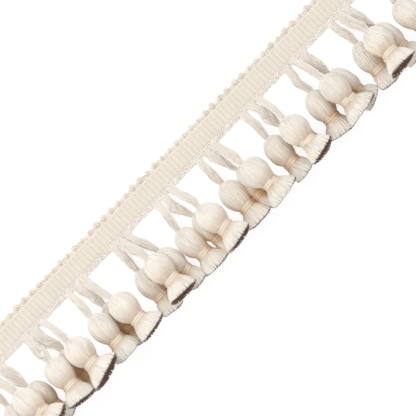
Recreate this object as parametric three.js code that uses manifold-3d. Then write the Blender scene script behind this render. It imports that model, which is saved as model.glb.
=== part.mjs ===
// A cut length of onion tassel fringe trim, lying face up on a flat surface. All sizes are in millimetres.
//
// A ribbed woven tape has a picot edging along its top and a fringe along its bottom. The fringe is a narrow
// looped edge row from which flat yarn hangers leave in groups of three. Each hanger ends in an onion tassel:
// a round head, a neck bound with thread and a short flared skirt with cut ends. Three heads are wider than
// their group's share of the tape, so some of them lie on the surface and the others lie on top of those.
//
// Frame: +X runs along the tape, +Y points to the picots and +Z points up from the surface. The origin is on
// the tape's flat back, at the middle of its length and of its width.

import * as THREE from "three";
import { mergeVertices } from "three/addons/utils/BufferGeometryUtils.js";
import Module from "manifold-3d";

const wasm = await Module();
wasm.setup();

// ---- Driving dimensions ----

const RIB_PITCH = 2.8133; // one crosswise rib of the woven tape
const RIBS_PER_PICOT = 2;
const PICOTS_PER_GROUP = 6;
const PICOT_PITCH = RIB_PITCH * RIBS_PER_PICOT; // also the spacing of the hangers in a group
const GROUP_PITCH = PICOT_PITCH * PICOTS_PER_GROUP;
const GROUPS = 10;
const END_RIBS = 1.5; // the tape runs on this far past the first and the last hanger
const LENGTH = (GROUPS - 1) * GROUP_PITCH + 2 * END_RIBS * RIB_PITCH;
const SEAM_GAP = 0.3; // between neighbouring pieces

const TAPE = { width: 10.5, body: 1.4, topCord: 1.1, topCordRise: 0.35 };
const PICOT = { strip: 1.3, radius: 1.25, reach: 3.2, thickness: 1.1 };
const EDGE_ROW = { width: 2.95, hollow: 1.3, rise: 1.75, side: 1.1 };
const HANGER = { run: 18.3, sunk: 0.6, rootZ: 0.85 };
const HANGER_ROOT = { width: 4.5, depth: 1.0 };
const HANGER_END = { width: 2.7, depth: 1.9 };
const TASSEL = { head: 17, bind: 3.2, skirt: 8.8 }; // lengths
const ROUND = { head: 7.4, neck: 4.75, binding: 5.65, skirt: 8.5 }; // radii of the turned form
// The head's radius at distances from the crown, both as shares of the whole.
const HEAD_PROFILE = [[0, 0], [0.5, 0.07], [0.82, 0.24], [1, 0.5], [0.94, 0.74], [0.76, 0.94]];
const SKIRT_BELLY = 0.72; // how much of its spread the skirt has at half its length
const NECK_PRESS = 0.86; // the neck's depth as a share of its width
const TASSEL_SIDES = 10;
const HANGER_SIDES = 6;
const HANGER_STEPS = 5;

const TAPE_EDGE = TAPE.width / 2;
const FRINGE_TOP = -TAPE_EDGE - SEAM_GAP;
const FRINGE_LOW = FRINGE_TOP - EDGE_ROW.width; // where the hangers come out
const HEAD_MIDDLE = TASSEL.head / 2;
const SKIRT_TOP = TASSEL.head + TASSEL.bind;
const TASSEL_LENGTH = SKIRT_TOP + TASSEL.skirt;

// One row for each tassel of a group.
//   x       where the hanger enters the crown of the head, from the middle of the group
//   drop    how far the crown hangs below the usual line
//   headZ   height of the head's middle above the surface
//   tipZ    height of the middle of the cut end
//   lean    how far the tassel swings towards +X, in degrees
//   kick    how much further its skirt swings, in degrees
//   width, depth    the head's size along X and Z
//   flare, thick    the cut end's size along X and Z
//   sway    how far the middle of the hanger bows towards +X
//   bulge   how far the middle of the hanger bows up
const COLUMNS = "x drop headZ tipZ lean kick width depth flare thick sway bulge".split(" ");
const PLACE_IN_GROUP = { left: -1, middle: 0, right: 1 };
const TASSEL_GROUPS = [
  {
    left: [-5.4, 0.0, 5.8, 4.3, -4, 0, 13.8, 12.4, 12.0, 8.6, 0.3, 0.9],
    middle: [2.6, -0.9, 17.3, 20.1, 11, 9, 14.4, 13.4, 17.0, 9.8, 0.3, 0.2],
    right: [10.7, 0.0, 5.8, 4.3, 4, 5, 14.2, 12.4, 12.0, 8.6, 1.0, 0.9],
  },
  {
    left: [-5.8, -0.5, 14.2, 16.4, -3, -6, 14.5, 12.8, 17.4, 9.4, -0.5, 0.5],
    middle: [2.4, 0.0, 5.0, 4.1, 3, 0, 13.4, 10.8, 8.4, 8.2, -1.8, 1.0],
    right: [9.0, 0.1, 16.4, 20.8, 2, 15, 15.8, 13.2, 22.0, 9.8, 1.0, 0.2],
  },
  {
    left: [-6.8, -0.2, 14.4, 10.6, 1, 3, 14.2, 12.8, 17.0, 9.2, 0.5, 0.5],
    middle: [2.7, -0.7, 5.0, 4.1, 3, 0, 13.2, 10.8, 8.4, 8.2, 0.2, 1.0],
    right: [8.4, 0.5, 16.4, 17.6, 6, 4, 15.7, 13.2, 18.4, 9.6, -0.3, 0.2],
  },
  {
    left: [-5.4, 0.0, 5.8, 4.3, -2, -7, 13.8, 12.4, 12.8, 8.6, -0.3, 0.9],
    middle: [2.8, -0.4, 17.0, 20.8, 4, -5, 14.6, 13.4, 17.4, 9.8, -0.6, 0.2],
    right: [9.2, 0.0, 5.8, 4.3, 9, 0, 13.0, 12.4, 9.6, 8.6, 0.8, 0.9],
  },
  {
    left: [-9.0, 0.3, 5.8, 4.5, 5, -4, 14.5, 12.4, 16.8, 9.0, -0.3, 0.9],
    middle: [4.7, 0.0, 5.6, 4.1, 2, 9, 11.0, 11.6, 9.2, 8.2, -1.2, 1.0],
    right: [7.9, 0.8, 18.4, 20.8, 8, 1, 15.4, 13.4, 17.2, 9.6, 0.5, 0.2],
  },
  {
    left: [-8.0, -0.3, 5.8, 4.5, 3, -2, 14.5, 12.4, 17.2, 9.0, -0.3, 0.9],
    middle: [5.65, -0.2, 5.6, 4.1, 1, 2, 10.9, 11.6, 8.0, 8.2, 0.3, 1.0],
    right: [8.0, 1.1, 18.4, 15.6, 9, 0, 15.4, 13.4, 20.3, 9.8, 0.8, 0.2],
  },
  {
    left: [-7.2, 0.0, 5.8, 4.3, 1, 9, 13.5, 12.4, 12.4, 8.6, 0.5, 0.9],
    middle: [4.6, 0.0, 5.6, 4.1, 12, 0, 12.5, 11.6, 8.0, 8.2, -0.6, 1.0],
    right: [6.0, 0.4, 18.3, 21.5, 4, 9, 15.8, 13.4, 16.8, 9.8, 0.9, 0.2],
  },
  {
    left: [-7.3, -0.7, 5.8, 4.5, -4, -6, 14.4, 12.4, 16.8, 9.0, -1.6, 0.9],
    middle: [3.2, -0.2, 17.6, 15.0, 4, 4, 15.2, 13.4, 21.0, 9.8, 0.6, 0.2],
    right: [8.95, -0.4, 5.8, 4.5, 6, 20, 12.9, 12.4, 12.4, 8.8, 0.5, 0.9],
  },
  {
    left: [-4.9, -0.9, 5.8, 4.3, -3, -3, 13.4, 12.4, 12.2, 8.6, 0.4, 0.9],
    middle: [4.7, -0.6, 17.9, 22.7, -1, 5, 15.2, 13.4, 18.0, 9.8, -0.6, 0.2],
    right: [9.5, -0.3, 5.8, 4.3, 4, 12, 13.0, 12.4, 11.6, 8.6, 1.0, 0.9],
  },
  {
    left: [-8.0, -1.1, 5.8, 4.5, 6, 0, 14.2, 12.4, 14.0, 9.0, 0.3, 0.9],
  },
].map((group) => Object.entries(group).map(([place, row]) => ({
  place,
  ...Object.fromEntries(COLUMNS.map((name, i) => [name, row[i]])),
})));

// ---- Finishes ----

const yarn = (color) => new THREE.MeshStandardMaterial({ color, roughness: 0.88, metalness: 0 });
const tapeCloth = yarn("#e9dfd1");
const picotYarn = yarn("#dfd1be");
const fringeYarn = yarn("#e6dacb");
const tasselYarn = yarn("#efe6da");
const bindingThread = yarn("#e4d5be");

// ---- Tape and picots ----

// Turns a section drawn in (Y, Z) and extruded along its own Z into a bar that runs along the part's X.
const ALONG_X = new THREE.Matrix4().makeBasis(
  new THREE.Vector3(0, 1, 0),
  new THREE.Vector3(0, 0, 1),
  new THREE.Vector3(1, 0, 0),
);

function barAlongTrim(section) {
  const shape = new THREE.Shape(section.map(([y, z]) => new THREE.Vector2(y, z)));
  return new THREE.ExtrudeGeometry(shape, { depth: LENGTH, bevelEnabled: false })
    .applyMatrix4(ALONG_X)
    .translate(-LENGTH / 2, 0, 0);
}

// The woven tape has a flat back, and a cord stands up along its upper edge.
function tapeGeometry() {
  return barAlongTrim([
    [-TAPE_EDGE, 0],
    [TAPE_EDGE, 0],
    [TAPE_EDGE, TAPE.body],
    [TAPE_EDGE - TAPE.topCord / 2, TAPE.body + TAPE.topCordRise],
    [TAPE_EDGE - TAPE.topCord, TAPE.body],
    [-TAPE_EDGE, TAPE.body],
  ]);
}

// The picots are round loops that stand out from a narrow strip.
function picotGeometry() {
  const foot = TAPE_EDGE + SEAM_GAP;
  const waist = foot + PICOT.strip;
  const centre = foot + PICOT.reach - PICOT.radius;
  const rise = Math.asin((centre - waist) / PICOT.radius);
  const outline = new THREE.Shape();
  outline.moveTo(-LENGTH / 2, foot);
  outline.lineTo(LENGTH / 2, foot);
  outline.lineTo(LENGTH / 2, waist);
  for (let x = (LENGTH - RIB_PITCH) / 2; x > -LENGTH / 2; x -= PICOT_PITCH) {
    outline.absarc(x, centre, PICOT.radius, -rise, Math.PI + rise, false);
  }
  outline.lineTo(-LENGTH / 2, waist);
  outline.closePath();
  const { thickness } = PICOT;
  return new THREE.ExtrudeGeometry(outline, { depth: thickness, bevelEnabled: false, curveSegments: 2 });
}

// ---- Fringe ----

// How far the tassel tips its cut end up, in radians.
function pitchOf({ headZ, tipZ }) {
  return Math.asin((tipZ - headZ) / (TASSEL_LENGTH - HEAD_MIDDLE));
}

// Where the hanger enters the head, for a tassel of a group whose middle is at x = 0.
function crownOf(tassel) {
  const crownZ = tassel.headZ - HEAD_MIDDLE * Math.sin(pitchOf(tassel));
  return new THREE.Vector3(tassel.x, FRINGE_LOW - HANGER.run - tassel.drop, crownZ);
}

// A hanger is flat where it leaves the edge row and rounder where it enters the head, with a bow between.
function hangerGeometry(tassel) {
  const geometry = new THREE.CylinderGeometry(1, 1, 1, HANGER_SIDES, HANGER_STEPS);
  const rootX = PLACE_IN_GROUP[tassel.place] * PICOT_PITCH;
  const rootY = FRINGE_LOW + HANGER.sunk;
  const crown = crownOf(tassel);
  const { position } = geometry.attributes;
  for (let i = 0; i < position.count; i += 1) {
    const t = 0.5 - position.getY(i);
    const ease = t * t * (3 - 2 * t);
    const bow = Math.sin(Math.PI * t);
    const halfWidth = THREE.MathUtils.lerp(HANGER_ROOT.width, HANGER_END.width, ease) / 2;
    const halfDepth = THREE.MathUtils.lerp(HANGER_ROOT.depth, HANGER_END.depth, ease) / 2;
    position.setXYZ(
      i,
      THREE.MathUtils.lerp(rootX, crown.x, ease) + tassel.sway * bow + halfWidth * position.getX(i),
      THREE.MathUtils.lerp(rootY, crown.y + SEAM_GAP, t),
      THREE.MathUtils.lerp(HANGER.rootZ, crown.z, t) + tassel.bulge * bow + halfDepth * position.getZ(i),
    );
  }
  return geometry;
}

// A closed mesh as a solid that can be joined to others.
function solidOf(geometry) {
  const bare = geometry.index ? geometry.toNonIndexed() : geometry.clone();
  bare.deleteAttribute("normal");
  bare.deleteAttribute("uv");
  const merged = mergeVertices(bare, 1e-4);
  return new wasm.Manifold(new wasm.Mesh({
    numProp: 3,
    vertProperties: merged.attributes.position.array,
    triVerts: new Uint32Array(merged.index.array),
  }));
}

function geometryOf(solid) {
  const { vertProperties, triVerts } = solid.getMesh();
  return new THREE.BufferGeometry()
    .setAttribute("position", new THREE.BufferAttribute(vertProperties, 3))
    .setIndex(new THREE.BufferAttribute(triVerts, 1));
}

// The middle of a group. The first group is whole, and the last one is cut after its left hanger.
function groupX(index) {
  return index * GROUP_PITCH + PICOT_PITCH + END_RIBS * RIB_PITCH - LENGTH / 2;
}

// The fringe is one comb: a double row of knots along its top, and every hanger.
function fringeGeometry() {
  const knotRow = EDGE_ROW.width / 4;
  const edgeRow = barAlongTrim([
    [FRINGE_LOW, 0],
    [FRINGE_TOP, 0],
    [FRINGE_TOP, EDGE_ROW.side],
    [FRINGE_TOP - knotRow, EDGE_ROW.rise],
    [FRINGE_TOP - 2 * knotRow, EDGE_ROW.hollow],
    [FRINGE_TOP - 3 * knotRow, EDGE_ROW.rise],
    [FRINGE_LOW, EDGE_ROW.side],
  ]);
  const hangers = TASSEL_GROUPS.flatMap((group, index) => (
    group.map((tassel) => hangerGeometry(tassel).translate(groupX(index), 0, 0))
  ));
  return geometryOf(hangers.reduce((comb, hanger) => comb.add(solidOf(hanger)), solidOf(edgeRow)));
}

// ---- Tassels ----

// Each profile gives radii at distances along the axis from the crown.
function tasselProfile() {
  return [
    ...HEAD_PROFILE.map(([radius, along]) => [radius * ROUND.head, along * TASSEL.head]),
    [ROUND.neck, TASSEL.head],
    [ROUND.neck, SKIRT_TOP],
    [THREE.MathUtils.lerp(ROUND.neck, ROUND.skirt, SKIRT_BELLY), SKIRT_TOP + TASSEL.skirt / 2],
    [ROUND.skirt, TASSEL_LENGTH],
    [0, TASSEL_LENGTH],
  ];
}

function bindingProfile() {
  const inner = ROUND.neck + SEAM_GAP / NECK_PRESS;
  const top = TASSEL.head + SEAM_GAP;
  const low = SKIRT_TOP - SEAM_GAP;
  return [[inner, top], [ROUND.binding, top], [ROUND.binding, low], [inner, low], [inner, top]];
}

// The tassel's width and depth at a distance along its axis, as shares of the round form's.
function pressAt(along, tassel) {
  const head = 1 - THREE.MathUtils.smoothstep(along, HEAD_MIDDLE, TASSEL.head);
  const skirt = THREE.MathUtils.clamp((along - SKIRT_TOP) / TASSEL.skirt, 0, 1);
  const share = (neck, headSize, skirtSize) => neck
    + (headSize / 2 / ROUND.head - neck) * head
    + (skirtSize / 2 / ROUND.skirt - neck) * skirt;
  return {
    across: share(1, tassel.width, tassel.flare),
    deep: share(NECK_PRESS, tassel.depth, tassel.thick),
  };
}

// A turned form about the crown, pressed to the tassel's width and depth, bent at the skirt, swung, tipped,
// and flattened where it lies on the surface. Its flats face up and down.
function tasselForm(profile, tassel) {
  const outline = profile.map(([radius, along]) => new THREE.Vector2(radius, -along)).reverse();
  const geometry = new THREE.LatheGeometry(outline, TASSEL_SIDES, Math.PI / TASSEL_SIDES);
  const flats = 1 / Math.cos(Math.PI / TASSEL_SIDES);
  const swing = THREE.MathUtils.degToRad(tassel.lean);
  const kick = new THREE.Matrix4().makeRotationZ(THREE.MathUtils.degToRad(tassel.kick));
  const turn = new THREE.Matrix4().makeRotationFromEuler(new THREE.Euler(-pitchOf(tassel), 0, swing, "ZYX"));
  const crown = crownOf(tassel);
  const { position } = geometry.attributes;
  const point = new THREE.Vector3();
  for (let i = 0; i < position.count; i += 1) {
    point.fromBufferAttribute(position, i);
    const below = -point.y - SKIRT_TOP;
    const press = pressAt(-point.y, tassel);
    point.x *= press.across;
    point.z *= press.deep * flats;
    if (below > SEAM_GAP) {
      point.y += SKIRT_TOP;
      point.applyMatrix4(kick);
      point.y -= SKIRT_TOP;
    }
    point.applyMatrix4(turn).add(crown);
    position.setXYZ(i, point.x, point.y, Math.max(0, point.z));
  }
  return geometry;
}

// ---- The trim ----

function named(name, geometry, material) {
  const mesh = new THREE.Mesh(geometry, material);
  mesh.name = name;
  return mesh;
}

const trim = new THREE.Group();
trim.add(named("heading_tape", tapeGeometry(), tapeCloth));
trim.add(named("picot_edging", picotGeometry(), picotYarn));
trim.add(named("hanger_fringe", fringeGeometry(), fringeYarn));

TASSEL_GROUPS.forEach((tassels, index) => {
  const group = new THREE.Group();
  group.position.x = groupX(index);
  tassels.forEach((tassel) => {
    const label = `${String(index + 1).padStart(2, "0")}_${tassel.place}`;
    group.add(named(`tassel_${label}`, tasselForm(tasselProfile(), tassel), tasselYarn));
    group.add(named(`binding_${label}`, tasselForm(bindingProfile(), tassel), bindingThread));
  });
  trim.add(group);
});

export default trim;
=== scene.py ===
"""The looks of a cut length of onion tassel fringe trim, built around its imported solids.

The trim lies face up. A ribbed tape carries picot loops along its upper edge and a double row of small
loops along its lower edge. Flat hangers of loose yarns leave that row in groups of three, and each ends in
an onion tassel: its yarns run over a round head, through a neck wound with thread, and fan out into a cut
skirt.

Sizes are in millimetres until a mesh is made, and meshes are in metres.
"""

import logging
import math
from dataclasses import dataclass, field
from enum import Enum

import bpy
import numpy as np
from bpy.types import ID, Material, Mesh, Node, NodeSocket, NodeTree, Object
from mathutils import Matrix, Vector
from mathutils.bvhtree import BVHTree


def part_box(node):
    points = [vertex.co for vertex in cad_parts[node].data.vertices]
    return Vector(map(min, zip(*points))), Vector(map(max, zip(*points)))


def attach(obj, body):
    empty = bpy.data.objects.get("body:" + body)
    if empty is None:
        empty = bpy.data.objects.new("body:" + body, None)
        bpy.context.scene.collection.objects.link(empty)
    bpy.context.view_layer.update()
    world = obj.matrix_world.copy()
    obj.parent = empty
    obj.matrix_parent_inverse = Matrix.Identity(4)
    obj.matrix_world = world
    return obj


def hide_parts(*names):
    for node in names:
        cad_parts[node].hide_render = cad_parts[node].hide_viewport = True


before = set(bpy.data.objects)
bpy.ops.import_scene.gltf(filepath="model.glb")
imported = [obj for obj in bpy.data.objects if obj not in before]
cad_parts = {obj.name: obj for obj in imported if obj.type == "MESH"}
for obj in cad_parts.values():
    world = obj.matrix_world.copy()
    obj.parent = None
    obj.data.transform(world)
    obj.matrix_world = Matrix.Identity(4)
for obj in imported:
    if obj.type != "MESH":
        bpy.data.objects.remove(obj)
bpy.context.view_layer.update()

log = logging.getLogger("tassel_trim")

MM = 0.001
TURN = 2 * math.pi
BODY = "root"
RIBS = 111  # raised ribs along the tape
RIBS_PER_PICOT = 2
PICOTS_PER_GROUP = 6
END_RIBS = 1.5  # the tape runs on this far past the first and the last hanger
HEAD_LENGTH = 17.0
BIND_LENGTH = 3.2
SKIRT_LENGTH = 8.8
SKIRT_TOP = HEAD_LENGTH + BIND_LENGTH
TASSEL_LENGTH = SKIRT_TOP + SKIRT_LENGTH
HEAD_RADIUS = 7.4  # of the turned form that every tassel is pressed from
WIDEST = 8.9  # how far from the crown the head is widest
FULLNESS = 0.3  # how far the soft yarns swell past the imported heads
RIM_FULLNESS = 0.8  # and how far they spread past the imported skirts, so that neighbours mingle
MORE_SWELL = {"05_middle": 0.7, "06_middle": 1.0}  # heads that bulge further, into the gap beside them
NECK_LEANS = {"05_middle": -0.8, "06_middle": -2.6}  # necks that sag towards the tassel on their left
NECK_RADIUS = 4.75
RIM_RADIUS = 8.5
CROWN_CURVE = 1.97  # how full the head's upper half is: 2 makes it a quarter of an ellipse
TUCK_CURVE = 2.4  # how late the head draws in to its neck
FAN_CURVE = 2.2  # how early the skirt spreads
NECK_PRESS = 0.86  # the neck's depth as a share of its width


class Slot(Enum):
    """The record's material slots."""

    HEADING = "heading_cloth"
    PICOTS = "picot_yarn"
    HANGERS = "hanger_yarn"
    TASSELS = "tassel_yarn"
    BINDINGS = "binding_thread"


class Place(Enum):
    """Where a tassel hangs in its group of three, counted in picots from the middle."""

    LEFT = -1
    MIDDLE = 0
    RIGHT = 1


# ---- Small helpers ----


def linear(hex_colour: str) -> tuple[float, float, float, float]:
    """Turns an sRGB hex colour into linear values.

    Args:
        hex_colour: Six hex digits after a hash sign.

    Returns:
        Linear red, green and blue, and an alpha of 1.
    """
    channels = (int(hex_colour[i : i + 2], 16) / 255 for i in (1, 3, 5))
    return (*(c / 12.92 if c <= 0.04045 else ((c + 0.055) / 1.055) ** 2.4 for c in channels), 1.0)


def socket_of(sockets: bpy.types.bpy_prop_collection, key: str) -> NodeSocket:
    """Finds a socket by its identifier, or else by its name.

    Args:
        sockets: A node's inputs or outputs.
        key: The identifier or the name.

    Returns:
        The socket.
    """
    return next((s for s in sockets if s.identifier == key), None) or sockets[key]


def add_node(
    tree: NodeTree, kind: str, inputs: dict[str, object] | None = None, **settings: object
) -> Node:
    """Adds a node with its settings, and links or fills its inputs.

    Args:
        tree: The shader or geometry tree that takes the node.
        kind: The node's type name.
        inputs: Socket identifiers or names, each with a value or with the output socket that feeds it.
        **settings: Properties of the node itself.

    Returns:
        The new node.
    """
    node = tree.nodes.new(kind)
    for name, value in settings.items():
        setattr(node, name, value)
    for key, value in (inputs or {}).items():
        socket = socket_of(node.inputs, key)
        if isinstance(value, NodeSocket):
            tree.links.new(value, socket)
        else:
            socket.default_value = value
    return node


def cleared(owner: ID) -> NodeTree:
    """Turns on the nodes of a new material or world, and empties its tree.

    Args:
        owner: The material or world.

    Returns:
        Its tree.
    """
    owner.use_nodes = True
    owner.node_tree.nodes.clear()
    return owner.node_tree


def unit(vector: np.ndarray) -> np.ndarray:
    """Returns the vector at length 1."""
    return vector / np.linalg.norm(vector)


def ease(value: np.ndarray | float, low: float, high: float) -> np.ndarray | float:
    """Rises smoothly from 0 at low to 1 at high.

    Args:
        value: Where the step is read.
        low: The value below which the step is 0.
        high: The value above which the step is 1.

    Returns:
        The step's height at each value.
    """
    t = np.clip((value - low) / (high - low), 0.0, 1.0)
    return t * t * (3 - 2 * t)


def corners_of(node: str) -> np.ndarray:
    """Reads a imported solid's corners.

    Args:
        node: The name of the CAD node.

    Returns:
        Each corner once, in millimetres.
    """
    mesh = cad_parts[node].data
    points = np.zeros(len(mesh.vertices) * 3)
    mesh.vertices.foreach_get("co", points)
    return np.unique(np.round(points.reshape(-1, 3) / MM, 3), axis=0)


def box_mm(node: str) -> tuple[np.ndarray, np.ndarray]:
    """Returns a CAD node's lowest and highest corner in millimetres."""
    low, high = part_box(node)
    return np.array(low) / MM, np.array(high) / MM


def linked(name: str, mesh: Mesh) -> Object:
    """Puts a mesh in the scene as an object at the origin.

    Args:
        name: The object's name.
        mesh: Its mesh, in metres.

    Returns:
        The new object.
    """
    piece = bpy.data.objects.new(name, mesh)
    bpy.context.scene.collection.objects.link(piece)
    return piece


def joined(name: str, parts: list[Object]) -> Object:
    """Joins mesh objects into the first of them.

    Args:
        name: The name of the joined piece.
        parts: The objects to join.

    Returns:
        The first object, which now holds every mesh.
    """
    with bpy.context.temp_override(active_object=parts[0], selected_editable_objects=parts):
        bpy.ops.object.join()
    parts[0].name = name
    parts[0].data.name = name
    return parts[0]


def grown(name: str, mesh: Mesh, tree: NodeTree, **values: object) -> Object:
    """Runs a geometry tree on a mesh and keeps the result as a plain mesh.

    Args:
        name: The object's name.
        mesh: What the tree starts from.
        tree: The geometry tree.
        **values: The tree's named inputs, with spaces written as underscores.

    Returns:
        An object with the finished mesh and no modifier.
    """
    piece = linked(name, mesh)
    modifier = piece.modifiers.new("grow", "NODES")
    modifier.node_group = tree
    sockets = {item.name: item.identifier for item in tree.interface.items_tree if item.in_out == "INPUT"}
    for label, value in values.items():
        modifier[sockets[label.replace("_", " ")]] = value
    graph = bpy.context.evaluated_depsgraph_get()
    result = bpy.data.meshes.new_from_object(piece.evaluated_get(graph), depsgraph=graph)
    piece.modifiers.clear()
    piece.data = result
    result.name = name
    bpy.data.meshes.remove(mesh)
    return piece


def note(mesh: Mesh, name: str, values: np.ndarray) -> None:
    """Stores a number at each point of a mesh under a name, where its material reads it."""
    mesh.attributes.new(name, "FLOAT", "POINT").data.foreach_set("value", values)


def settle(piece: Object, slot: Slot, *nodes: str) -> None:
    """Fixes a finished piece to the part's one body.

    Args:
        piece: The finished object.
        slot: The record's material slot that the piece stands for. It is not used.
        *nodes: The CAD nodes that it stands for.
    """
    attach(piece, BODY)
    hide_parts(*nodes)
    log.info("%s: %d faces", piece.name, len(piece.data.polygons))


# ---- Finishes ----


@dataclass(frozen=True)
class CottonFinish:
    """Spun cotton: matt, slightly fuzzy, and painted darker in its grooves as shade.

    Attributes:
        name: The material's name.
        light: The colour where it is cleanest.
        shade: The colour painted in its grooves as shade, and the own colour of its darker strands.
        relief: How deep its grooves look, in millimetres.
        depth_shown: How strongly they show, from 0 to 1.
        roughness: The roughness of the fibre's surface.
        shine: How much it mirrors, where 0.5 is usual and dry fibre has less.
        sheen: How much light the loose fibres catch at the edges.
    """

    name: str
    light: str
    shade: str
    relief: float = 0.09
    depth_shown: float = 0.6
    roughness: float = 0.75
    shine: float = 0.3
    sheen: float = 0.2

    def material(self) -> Material:
        """Makes the finish as a material, which reads the attributes that the meshes carry.

        Returns:
            The material.
        """
        material = bpy.data.materials.new(self.name)
        tree = cleared(material)
        colour, height = self._pattern(tree, add_node(tree, "ShaderNodeTexCoord").outputs["Object"])
        bump = add_node(
            tree,
            "ShaderNodeBump",
            {"Strength": self.depth_shown, "Distance": self.relief * MM, "Height": height},
        )
        shader = add_node(
            tree,
            "ShaderNodeBsdfPrincipled",
            {
                "Base Color": colour,
                "Roughness": self.roughness,
                "Specular IOR Level": self.shine,
                "Sheen Weight": self.sheen,
                "Sheen Roughness": 0.5,
                "Normal": bump.outputs["Normal"],
            },
        )
        add_node(tree, "ShaderNodeOutputMaterial", {"Surface": shader.outputs["BSDF"]})
        return material

    def _shaded(
        self, tree: NodeTree, base: NodeSocket, patches: tuple[tuple[NodeSocket, float], ...]
    ) -> NodeSocket:
        """Colours the cotton between its light and its shade.

        Args:
            tree: The material's tree.
            base: How much shade there is.
            patches: What adds to it, each with its weight.

        Returns:
            The colour.
        """
        for source, weight in patches:
            inputs = {"Value": source, "Value_001": weight, "Value_002": base}
            base = add_node(tree, "ShaderNodeMath", inputs, operation="MULTIPLY_ADD").outputs["Value"]
        colours = {"A_Color": linear(self.light), "B_Color": linear(self.shade)}
        mixed = add_node(tree, "ShaderNodeMix", {"Factor_Float": base, **colours}, data_type="RGBA")
        return socket_of(mixed.outputs, "Result_Color")

    def _pattern(self, tree: NodeTree, place: NodeSocket) -> tuple[NodeSocket, NodeSocket]:
        """Returns where the finish's colour and the height of its relief come from."""
        raise NotImplementedError


@dataclass(frozen=True)
class YarnFinish(CottonFinish):
    """A plied and twisted yarn, with slanting grooves between its plies.

    Attributes:
        deep: The warm tan painted where it lies deep between the tassels, a painted shade.
        end: The dull brown painted at its cut ends, a painted shade of the cut face.
        plies: How many plies are twisted together.
        twist: The length of one full twist in millimetres.
        cloud_size: The size of its cloudy patches in millimetres, as undyed yarn has.
        fibre_size: The size of its fibres, drawn coarser than the real 0.02 mm so that they show.
        fibre_height: How high its fibres stand next to its plies.
        strand_shade: How much the yarns differ from one another.
        ply_light: How much lighter its plies' crowns are painted than its grooves, a painted shade.
        cloud_shade: How much its cloudy patches darken it.
        fibre_shade: How much its fibres do.
    """

    deep: str = "#d2a97b"
    end: str = "#7d6254"
    plies: int = 2
    twist: float = 2.4
    cloud_size: float = 5.0
    fibre_size: float = 0.3
    fibre_height: float = 0.5
    strand_shade: float = 0.5
    ply_light: float = 0.22
    cloud_shade: float = 0.35
    fibre_shade: float = 0.25

    def _pattern(self, tree: NodeTree, place: NodeSocket) -> tuple[NodeSocket, NodeSocket]:
        """Clouds the yarn, paints shade in its grooves, and paints a warm shade where it lies deep and a
        brown shade where it is cut.

        Args:
            tree: The material's tree.
            place: Where the surface lies on the object.

        Returns:
            The colour, and the height of the plies and fibres.
        """
        ply = self._ply(tree)
        cloud, fibre = (
            add_node(tree, "ShaderNodeTexNoise", {"Vector": place, "Scale": 1 / (size * MM)}).outputs["Fac"]
            for size in (self.cloud_size, self.fibre_size)
        )
        tone, painted_shade, cut = (
            add_node(tree, "ShaderNodeAttribute", attribute_name=name).outputs["Fac"]
            for name in ("tone", "painted_shade", "cut")
        )
        strand = add_node(
            tree, "ShaderNodeMath", {"Value": tone, "Value_001": self.strand_shade}, operation="MULTIPLY"
        )
        patches = ((ply, -self.ply_light), (cloud, self.cloud_shade), (fibre, self.fibre_shade))
        colour = self._shaded(tree, strand.outputs["Value"], patches)
        # Painted shade: a warm tan where the yarn lies sheltered, and a dull brown at the cut face.
        for share, hex_colour in ((painted_shade, self.deep), (cut, self.end)):
            inputs = {"Factor_Float": share, "A_Color": colour, "B_Color": linear(hex_colour)}
            mixed = add_node(tree, "ShaderNodeMix", inputs, data_type="RGBA")
            colour = socket_of(mixed.outputs, "Result_Color")
        relief = {"Value": fibre, "Value_001": self.fibre_height, "Value_002": ply}
        height = add_node(tree, "ShaderNodeMath", relief, operation="MULTIPLY_ADD")
        return colour, height.outputs["Value"]

    def _ply(self, tree: NodeTree) -> NodeSocket:
        """Winds the plies round the yarn.

        Args:
            tree: The material's tree.

        Returns:
            Their height, from 0 in the grooves to 1.
        """
        around, along = (
            add_node(tree, "ShaderNodeAttribute", attribute_name=name).outputs
            for name in ("around", "along")
        )
        across = add_node(tree, "ShaderNodeSeparateXYZ", {"Vector": around["Vector"]}).outputs
        angle = add_node(
            tree, "ShaderNodeMath", {"Value": across["Y"], "Value_001": across["X"]}, operation="ARCTAN2"
        )
        winding = add_node(
            tree,
            "ShaderNodeMath",
            {"Value": along["Fac"], "Value_001": TURN * self.plies / self.twist},
            operation="MULTIPLY",
        )
        slant = add_node(
            tree,
            "ShaderNodeMath",
            {
                "Value": angle.outputs["Value"],
                "Value_001": float(self.plies),
                "Value_002": winding.outputs["Value"],
            },
            operation="MULTIPLY_ADD",
        )
        wave = add_node(tree, "ShaderNodeMath", {"Value": slant.outputs["Value"]}, operation="SINE")
        height = add_node(
            tree,
            "ShaderNodeMath",
            {"Value": wave.outputs["Value"], "Value_001": 0.5, "Value_002": 0.5},
            operation="MULTIPLY_ADD",
        )
        return height.outputs["Value"]


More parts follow.
